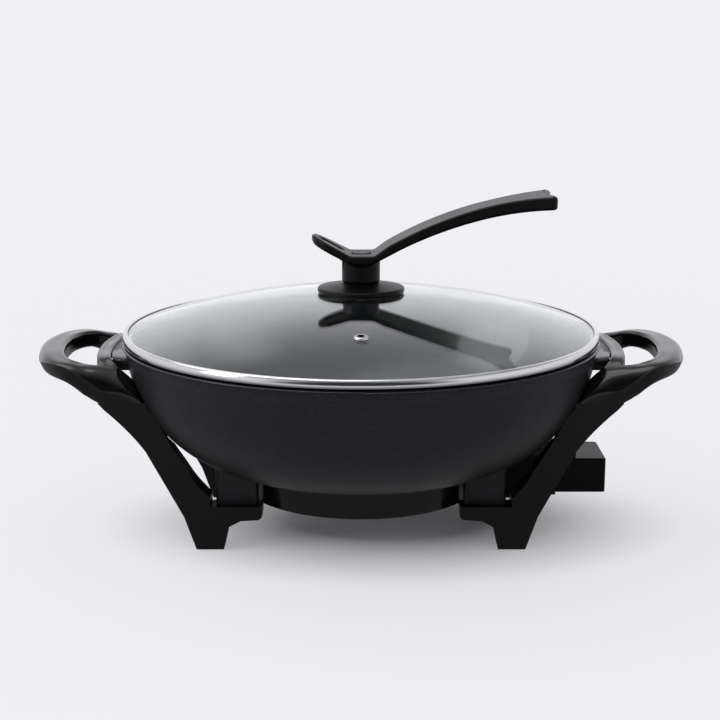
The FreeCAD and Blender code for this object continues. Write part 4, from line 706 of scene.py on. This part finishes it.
def pass_through(piece, passes):
    """Swells a cage of four-sided faces until its subdivided surface runs through the points that
    the cage had, by the limit that such a surface has at each."""
    points = piece.data.vertices
    wanted = [point.co.copy() for point in points]
    beside = [set() for _ in points]
    across = [[] for _ in points]
    for face in piece.data.polygons:
        ring = list(face.vertices)
        for i, number in enumerate(ring):
            beside[number] |= {ring[i - 1], ring[(i + 1) % 4]}
            across[number].append(ring[(i + 2) % 4])
    for _ in range(passes):
        now = [point.co.copy() for point in points]
        for i, point in enumerate(points):
            n = len(across[i])
            if n == len(beside[i]):
                limit = (now[i] * n * n + sum((now[j] for j in beside[i]), Vector()) * 4
                         + sum((now[j] for j in across[i]), Vector())) / (n * (n + 5))
                point.co = now[i] + wanted[i] - limit


def grip_cage():
    """Extrudes one half of a grip from the seam to the middle of its bar, and its web after it."""
    rings = [grip_section(row) for row in GRIP_SECTIONS]
    count = len(rings[0])
    bpy.ops.object.select_all(action="DESELECT")
    bpy.ops.mesh.primitive_circle_add(vertices=count, radius=0.01, location=(0, 0, 0))
    grip = bpy.context.object
    grip.name = "grip_right_moulded"
    place_points(grip, dict(enumerate(rings[0])))
    for row, ring in enumerate(rings[1:], 1):
        bpy.ops.object.mode_set(mode="EDIT")
        bpy.ops.mesh.extrude_region_move()
        bpy.ops.object.mode_set(mode="OBJECT")
        place_points(grip, {row * count + i: spot for i, spot in enumerate(ring)})
    bpy.ops.object.mode_set(mode="EDIT")
    bpy.ops.mesh.select_all(action="DESELECT")
    bpy.ops.object.mode_set(mode="OBJECT")
    patch = {WEB_ROWS[i] * count + level: (i, level) for i in range(3) for level in range(3)}
    for face in grip.data.polygons:
        face.select = all(number in patch for number in face.vertices)
    for step in range(len(WEB_STEPS)):
        spots = {tuple(round(c, 7) for c in grip.data.vertices[n].co): key
                 for n, key in patch.items()}
        bpy.ops.object.mode_set(mode="EDIT")
        bpy.ops.mesh.extrude_region_move()
        bpy.ops.object.mode_set(mode="OBJECT")
        patch = {point.index: spots[tuple(round(c, 7) for c in point.co)]
                 for point in grip.data.vertices if point.select}
        ring = web_ring(step)
        place_points(grip, {number: ring[key] for number, key in patch.items()})
    bpy.ops.object.mode_set(mode="EDIT")
    bpy.ops.mesh.delete(type="FACE")
    bpy.ops.object.mode_set(mode="OBJECT")
    return grip


def skew(grip):
    """Draws a grip's loop out a little at its rear corner and in at its front one."""
    for point in grip.data.vertices:
        loop = min(1.0, max(0.0, (point.co.x / MM - LOOP_START) / LOOP_ROOT))
        point.co.x += GRIP_SKEW * loop * point.co.y / SKEW_ARM


def sink_seats(grip):
    """Cuts the round seats of the web's two screws."""
    for side in (-1, 1):
        bpy.ops.object.select_all(action="DESELECT")
        bpy.ops.mesh.primitive_cylinder_add(
            vertices=48, radius=SEAT_RADIUS * MM, depth=SEAT_REACH * MM,
            location=((SEAT_FLOOR + SEAT_REACH / 2) * MM, side * SCREW_ASIDE * MM,
                      SCREW_HEIGHT * MM),
            rotation=(0, math.pi / 2, 0))
        drill = bpy.context.object
        seat = grip.modifiers.new("screw_seat", "BOOLEAN")
        seat.operation = "DIFFERENCE"
        seat.solver = "EXACT"
        seat.object = drill
        apply_modifiers(grip)
        bpy.data.objects.remove(drill)


def finish_grip(grip):
    """Mirrors, smooths and cuts a grip at its seam, and sinks the seats of its screws."""
    mirror = grip.modifiers.new("front_and_rear", "MIRROR")
    mirror.use_axis = (False, True, False)
    mirror.merge_threshold = 0.01 * MM
    mirror.use_mirror_merge = True
    apply_modifiers(grip)
    skew(grip)
    pass_through(grip, 4)
    rounded = grip.modifiers.new("moulded_surface", "SUBSURF")
    rounded.levels = rounded.render_levels = 3
    apply_modifiers(grip)
    bpy.ops.object.mode_set(mode="EDIT")
    bpy.ops.mesh.select_all(action="SELECT")
    bpy.ops.mesh.bisect(plane_co=(0, 0, SEAM * MM), plane_no=(0, 0, 1), use_fill=True,
                        clear_inner=True)
    bpy.ops.object.mode_set(mode="OBJECT")
    face_outwards(grip)
    sink_seats(grip)


class WOK_OT_grips(bpy.types.Operator):
    """Moulds the two loop grips."""
    bl_idname = "wok.grips"
    bl_label = "Grips"

    def execute(self, context):
        right = grip_cage()
        finish_grip(right)
        smooth(right, 40)
        paint(right, "gloss")
        select_only(right)
        bpy.ops.object.duplicate(linked=False)
        left = context.object
        left.name = "grip_left_moulded"
        bpy.ops.transform.resize(value=(-1, 1, 1), center_override=(0, 0, 0))
        bpy.ops.object.transform_apply(location=True, rotation=True, scale=True)
        face_outwards(left)
        stand_in(right, "grip_right")
        stand_in(left, "grip_left")
        return {"FINISHED"}


# The inner edge of a leg, as (height, distance from the middle).
LEG_INNER = ((43.9, 114.3), (51.8, 121.2), (64.1, 130.7), (76.2, 138.7), (84.0, 146.4),
             (96.6, 156.5), (110.0, 163.9))
EDGE_BAND = (0, 9)      # how far out from that edge a lean towards the bowl fades away
BACK_BAND = (8, 16)     # how far out from it the leg's outer edge starts
LEG_FACES = (56, 68)    # just inside the leg's two faces, from the middle plane
LEG_LEAN = (1.6, 3.2)   # how far the inner edge leans towards the bowl, on each of them
LEAN_START = (50, 66)   # the heights over which the lean comes in
LEAN_END = (100, 110)   # the heights over which it gives way again, by this share
LEAN_LOSS = 0.55
LEG_FLARE = 3.4         # how far the outer edge flares to meet the grip
FLARE_RISE = (64, 116)  # the heights over which it does, past the seam
LEG_ROOT = (1.0, 2.0)   # how far out and up a leg's top reaches into the foot of its grip
FOOT_SPREAD = (2.5, 1.2)    # how far a foot's sole spreads towards the middle and away from it
SOLE_MIDDLE, SOLE_TOP = 112.0, 3.0      # the sole's middle, and a height just over it


def shape_leg(leg):
    """Brings a leg's inner edge closer to the bowl, flares its outer edge to meet the grip, lets
    its top reach into the grip and spreads its foot a little."""
    for point in leg.data.vertices:
        height, reach, aside = point.co.z / MM, abs(point.co.x) / MM, abs(point.co.y) / MM
        out = 0.0
        if height < SOLE_TOP:
            out = -FOOT_SPREAD[0] if reach < SOLE_MIDDLE else FOOT_SPREAD[1]
        for (low, near), (high, far) in zip(LEG_INNER, LEG_INNER[1:]):
            if low <= height < high + 0.05:
                edge = near + (far - near) * (height - low) / (high - low)
                lean = LEG_LEAN[0] + (LEG_LEAN[1] - LEG_LEAN[0]) * ease(*LEG_FACES, aside)
                share = ease(*LEAN_START, height) * (1 - LEAN_LOSS * ease(*LEAN_END, height))
                out -= lean * share * (1 - ease(*EDGE_BAND, reach - edge))
                out += LEG_FLARE * ease(*FLARE_RISE, height) * ease(*BACK_BAND, reach - edge)
                break
        if abs(height - SEAM) < 0.1:
            out += LEG_ROOT[0] * ease(*BACK_BAND, reach - LEG_INNER[-1][1])
            point.co.z += LEG_ROOT[1] * MM
        point.co.x += out * math.copysign(MM, point.co.x)


class WOK_OT_legs(bpy.types.Operator):
    """Moulds the four legs and their pads."""
    bl_idname = "wok.legs"
    bl_label = "Legs"

    def execute(self, context):
        edge = context.scene.wok_plastic.edge / MM
        for row in ("front", "rear"):
            for side in ("right", "left"):
                moulded_copy(f"leg_{row}_{side}", "satin", edge * LEG_EDGE, segments=4,
                             shape=shape_leg)
                paint(NODES[f"foot_pad_{row}_{side}"], "rubber")
        return {"FINISHED"}


class WOK_OT_underside(bpy.types.Operator):
    """Finishes the ring, the bottom cover, the heater and its socket."""
    bl_idname = "wok.underside"
    bl_label = "Underside"

    def execute(self, context):
        moulded_copy("base_ring", "gloss", edge_mm=0.6)
        moulded_copy("socket_shroud", "satin", edge_mm=0.6)
        for node, finish in (("bottom_cover", "sheet"), ("heating_element", "sheath"),
                             ("terminal_pins", "nickel"), ("terminal_insulators", "ceramic")):
            paint(NODES[node], finish)
        return {"FINISHED"}


class WOK_OT_controller(bpy.types.Operator):
    """Moulds the plug-in controller and finishes its metal parts."""
    bl_idname = "wok.controller"
    bl_label = "Controller"

    def execute(self, context):
        moulded_copy("controller_base", "handle", edge_mm=0.8)
        moulded_copy("controller_cover", "handle", edge_mm=0.8)
        moulded_copy("dial", "satin", edge_mm=0.5)
        for node, finish in (("controller_probe", "rim_steel"), ("controller_sleeves", "brass"),
                             ("thermostat_block", "ceramic"), ("controller_lamp", "lens"),
                             ("controller_gland", "rubber"), ("dial_shaft", "nickel")):
            paint(NODES[node], finish)
        return {"FINISHED"}


class WOK_OT_screws(bpy.types.Operator):
    """Plates every screw."""
    bl_idname = "wok.screws"
    bl_label = "Screws"

    def execute(self, context):
        for node in NODES:
            if node.endswith("screws") or "_screws_" in node:
                paint(NODES[node], "screw_steel")
        return {"FINISHED"}


# ---------------------------------------------------------------- stage

# Distances on the floor from the wok's middle, in metres. A painted glow lifts the floor's
# rendered shadow round the wok, and is left out in a painted patch under it.
FLOOR_SIZE = 120.0
# The painted patch under the wok where the painted glow is left out and the rendered shadow shows
# full: its middle, squeeze and edges.
PAINTED_SHADOW_SHIFT = 0.02     # how far the full shadow's middle lies towards the controller
PAINTED_SHADOW_SQUEEZE = 0.6    # how much less a distance to the side counts in it than one to the front
PAINTED_SHADOW_EDGE = (0.045, 0.14)     # where the full shadow starts to give way, and where it has
FAR_EDGE = (0.35, 2.0)      # where the floor starts to run out into the backdrop, and where it has
# Between these, the painted floor tone that a gloss shows rises from its painted shade close by to
# full.
GLOSS_EDGE = (0.6, 1.3)     # where a gloss starts to show the floor bright, and where it is

# Directions in the room, as the shares of a unit vector that point back and up.
FRONT_FADE = (-0.9, -0.6)   # where the unlit side in front ends
WALL_FADE = (0.32, 0.72)    # where the lit walls run out into the ceiling
SILK_FADE = (0.72, 1.0)     # where the silk overhead comes in
WINDOW_EDGE = (24, 14)      # how many degrees from its middle a window starts, and is full

ROOM_LIGHT = 0.5        # how strongly the room lights what stands in it
SILK_AIM = (0.45, -0.15, -1.0)      # the way the silk's light goes
SENSOR_WIDTH = 36       # the camera's, in millimetres
CAMERA_SHIFT = -0.0014  # how far its frame is moved to the side, in frame widths


def floor_material():
    """Matt white studio floor, with a painted glow in the backdrop's tone where the camera looks:
    the glow is left out in a painted patch under the wok, so the rendered shadow shows fullest
    there and is lifted round it, and far off the floor runs out into the backdrop's tone. A gloss
    sees a painted floor tone instead, darker close by as painted shade."""
    stage = bpy.context.scene.wok_stage
    material, tree, place = start("studio_floor_paint")
    cloud = add(tree, "ShaderNodeTexNoise",
                {"Vector": place, "Scale": per_metre(1667), "Detail": 2.0})
    tint = add(tree, "ShaderNodeMix",
               {0: cloud.outputs["Fac"], 6: lighter(as_hex(stage.floor), 0.99),
                7: linear(as_hex(stage.floor))}, data_type="RGBA")
    path = add(tree, "ShaderNodeLightPath")
    shifted = add(tree, "ShaderNodeMapping",
                  {"Vector": place, "Location": (-PAINTED_SHADOW_SHIFT * PAINTED_SHADOW_SQUEEZE, 0, 0),
                   "Scale": (PAINTED_SHADOW_SQUEEZE, 1, 1)})
    beneath = add(tree, "ShaderNodeVectorMath", {0: shifted.outputs[0]}, operation="LENGTH")
    away = add(tree, "ShaderNodeVectorMath", {0: place}, operation="LENGTH")
    # Painted glow share: none in the painted patch under the wok, rising to the floor glow round
    # it.
    painted_glow_near = add(tree, "ShaderNodeMapRange",
                   {"Value": beneath.outputs["Value"], "From Min": PAINTED_SHADOW_EDGE[0],
                    "From Max": PAINTED_SHADOW_EDGE[1], "To Min": 0.0, "To Max": stage.floor_glow})
    far_off = add(tree, "ShaderNodeMapRange",
                  {"Value": away.outputs["Value"], "From Min": FAR_EDGE[0],
                   "From Max": FAR_EDGE[1], "To Min": 0.0, "To Max": 1.0 - stage.floor_glow},
                  interpolation_type="SMOOTHSTEP")
    reach = add(tree, "ShaderNodeMath", {0: painted_glow_near.outputs[0], 1: far_off.outputs[0]},
                operation="ADD")
    viewed = add(tree, "ShaderNodeMath",
                 {0: path.outputs["Is Camera Ray"], 1: path.outputs["Is Transmission Ray"]},
                 operation="MAXIMUM")
    share = add(tree, "ShaderNodeMath", {0: viewed.outputs[0], 1: reach.outputs[0]},
                operation="MULTIPLY")
    matt = add(tree, "ShaderNodeBsdfPrincipled",
               {"Base Color": tint.outputs[2], "Roughness": 0.9, "Specular IOR Level": 0.0})
    # The painted glow, in the backdrop's tone.
    glow = add(tree, "ShaderNodeEmission", {"Color": linear(as_hex(stage.backdrop)),
                                            "Strength": 1.0})
    seen = add(tree, "ShaderNodeMixShader",
               {0: share.outputs[0], 1: matt.outputs[0], 2: glow.outputs[0]})
    # A gloss sees a painted reflection of the floor: an even tone, darker close by as painted
    # shade.
    tone = add(tree, "ShaderNodeMapRange",
               {"Value": away.outputs["Value"], "From Min": GLOSS_EDGE[0],
                "From Max": GLOSS_EDGE[1], "To Min": stage.near_gloss, "To Max": 1.0},
               interpolation_type="SMOOTHSTEP")
    painted_floor_reflection = add(tree, "ShaderNodeEmission", {"Color": linear(as_hex(stage.backdrop)),
                                                "Strength": tone.outputs[0]})
    close(tree, add(tree, "ShaderNodeMixShader",
                    {0: path.outputs["Is Glossy Ray"], 1: seen.outputs[0],
                     2: painted_floor_reflection.outputs[0]}))
    return material


def light_world():
    """An even white room. A gloss shows its walls bright, with a bright silk overhead and the unlit
    side in front, and through the lid's glass two windows too. What the camera sees of the room,
    straight or through glass, is the backdrop."""
    stage = bpy.context.scene.wok_stage
    world = bpy.context.scene.world or bpy.data.worlds.new("studio")
    bpy.context.scene.world = world
    world.use_nodes = True
    world.cycles.sampling_method = "NONE"
    tree = world.node_tree
    tree.nodes.clear()
    path = add(tree, "ShaderNodeLightPath")
    direction = add(tree, "ShaderNodeTexCoord").outputs["Generated"]
    heading = add(tree, "ShaderNodeSeparateXYZ", {0: direction})
    front = add(tree, "ShaderNodeMapRange",
                {"Value": heading.outputs["Y"], "From Min": FRONT_FADE[0],
                 "From Max": FRONT_FADE[1], "To Min": stage.front_tone, "To Max": 1.0},
                interpolation_type="SMOOTHSTEP")
    above = add(tree, "ShaderNodeMapRange",
                {"Value": heading.outputs["Z"], "From Min": WALL_FADE[0],
                 "From Max": WALL_FADE[1], "To Min": stage.wall_tone, "To Max": stage.top_tone},
                interpolation_type="SMOOTHSTEP")
    silk = add(tree, "ShaderNodeMapRange",
               {"Value": heading.outputs["Z"], "From Min": SILK_FADE[0],
                "From Max": SILK_FADE[1], "To Min": 0.0,
                "To Max": stage.silk_tone - stage.top_tone},
               interpolation_type="SMOOTHSTEP")
    roof = add(tree, "ShaderNodeMath", {0: above.outputs[0], 1: silk.outputs[0]}, operation="ADD")
    room = add(tree, "ShaderNodeMath", {0: front.outputs[0], 1: roof.outputs[0]},
               operation="MULTIPLY")
    starts, full = (math.cos(math.radians(turn)) for turn in WINDOW_EDGE)
    # A window shows only to a ray that has crossed both faces of the glass.
    through = add(tree, "ShaderNodeMath", {0: path.outputs["Transmission Depth"], 1: 1.5},
                  operation="GREATER_THAN")
    for aim, tone in ((stage.left_window, stage.left_tone), (stage.right_window, stage.right_tone)):
        near = add(tree, "ShaderNodeVectorMath", {0: direction, 1: Vector(aim).normalized()},
                   operation="DOT_PRODUCT")
        window = add(tree, "ShaderNodeMapRange",
                     {"Value": near.outputs["Value"], "From Min": starts, "From Max": full,
                      "To Min": 0.0, "To Max": tone}, interpolation_type="SMOOTHSTEP")
        lit_through = add(tree, "ShaderNodeMath", {0: window.outputs[0], 1: through.outputs[0]},
                          operation="MULTIPLY")
        room = add(tree, "ShaderNodeMath", {0: room.outputs[0], 1: lit_through.outputs[0]},
                   operation="ADD")
    backdrop = linear(as_hex(stage.backdrop))
    lit = add(tree, "ShaderNodeBackground", {"Color": (1, 1, 1, 1), "Strength": ROOM_LIGHT})
    gloss = add(tree, "ShaderNodeBackground", {"Color": backdrop, "Strength": room.outputs[0]})
    plain = add(tree, "ShaderNodeBackground", {"Color": backdrop, "Strength": 1.0})
    glossed = add(tree, "ShaderNodeMath", {0: path.outputs["Glossy Depth"], 1: 0.5},
                  operation="GREATER_THAN")
    spread = add(tree, "ShaderNodeMath", {0: path.outputs["Diffuse Depth"], 1: 0.5},
                 operation="GREATER_THAN")
    seen = add(tree, "ShaderNodeMixShader",
               {0: glossed.outputs[0], 1: plain.outputs[0], 2: gloss.outputs[0]})
    mixed = add(tree, "ShaderNodeMixShader",
                {0: spread.outputs[0], 1: seen.outputs[0], 2: lit.outputs[0]})
    add(tree, "ShaderNodeOutputWorld", {"Surface": mixed.outputs[0]})


def softbox(name, size, place, aim, watts):
    """A rectangular softbox that points at a spot."""
    bpy.ops.object.light_add(type="AREA", location=place)
    lamp = bpy.context.object
    lamp.name = name
    lamp.data.shape = "RECTANGLE"
    lamp.data.size, lamp.data.size_y = size
    lamp.data.energy = watts
    direction = Vector(aim) - Vector(place)
    lamp.rotation_euler = direction.to_track_quat("-Z", "Y").to_euler()


class WOK_OT_stage(bpy.types.Operator):
    """Makes the floor, the light and the camera."""
    bl_idname = "wok.stage"
    bl_label = "Stage"

    def execute(self, context):
        scene = context.scene
        stage = scene.wok_stage
        bpy.ops.object.select_all(action="DESELECT")
        bpy.ops.mesh.primitive_plane_add(size=FLOOR_SIZE, location=(0, 0, 0))
        floor = context.object
        floor.name = "studio_floor"
        floor.data.materials.append(floor_material())
        light_world()
        bpy.ops.object.light_add(type="SUN", location=(-1.5, 0.6, 2.5))
        silk = context.object
        silk.name = "overhead_silk"
        silk.data.energy = stage.silk_strength
        silk.data.angle = stage.silk_spread
        silk.rotation_euler = Vector(SILK_AIM).to_track_quat("-Z", "Y").to_euler()
        softbox("left_softbox", size=(0.5, 1.0), place=(-1.6, -0.7, 0.8), aim=(0, 0, 0.15),
                watts=stage.softbox_watts)
        bpy.ops.object.camera_add(
            location=(0, -stage.camera_distance, stage.camera_height),
            rotation=(math.pi / 2 - stage.camera_dip, 0, 0))
        camera = context.object
        camera.name = "photographer"
        camera.data.sensor_width = SENSOR_WIDTH
        camera.data.lens = stage.lens
        camera.data.shift_x = CAMERA_SHIFT
        scene.camera = camera
        scene.view_settings.view_transform = "Standard"
        return {"FINISHED"}


# ---------------------------------------------------------------- add-on

OPERATORS = (WOK_OT_pan, WOK_OT_lid, WOK_OT_handle, WOK_OT_grips, WOK_OT_legs, WOK_OT_underside,
             WOK_OT_controller, WOK_OT_screws, WOK_OT_stage)
SETTINGS = {"wok_pan": WokPanSettings, "wok_plastic": WokPlasticSettings,
            "wok_stage": WokStageSettings}


class WOK_PT_panel(bpy.types.Panel):
    """Lists the wok's settings and its pieces."""
    bl_idname = "WOK_PT_panel"
    bl_label = "Electric Wok"
    bl_space_type = "VIEW_3D"
    bl_region_type = "UI"
    bl_category = "Wok"

    def draw(self, context):
        for name, group in SETTINGS.items():
            settings = getattr(context.scene, name)
            box = self.layout.box()
            for prop in group.__annotations__:
                box.prop(settings, prop)
        for operator in OPERATORS:
            self.layout.operator(operator.bl_idname)


def register():
    """Registers the settings, the operators and the panel."""
    for name, group in SETTINGS.items():
        bpy.utils.register_class(group)
        setattr(bpy.types.Scene, name, bpy.props.PointerProperty(type=group))
    for item in (*OPERATORS, WOK_PT_panel):
        bpy.utils.register_class(item)


def unregister():
    """Takes back what register() added."""
    for item in reversed((*OPERATORS, WOK_PT_panel)):
        bpy.utils.unregister_class(item)
    for name, group in reversed(SETTINGS.items()):
        delattr(bpy.types.Scene, name)
        bpy.utils.unregister_class(group)


def main():
    """Makes every piece."""
    register()
    for operator in OPERATORS:
        family, name = operator.bl_idname.split(".")
        getattr(getattr(bpy.ops, family), name)()


if __name__ == "__main__":
    main()
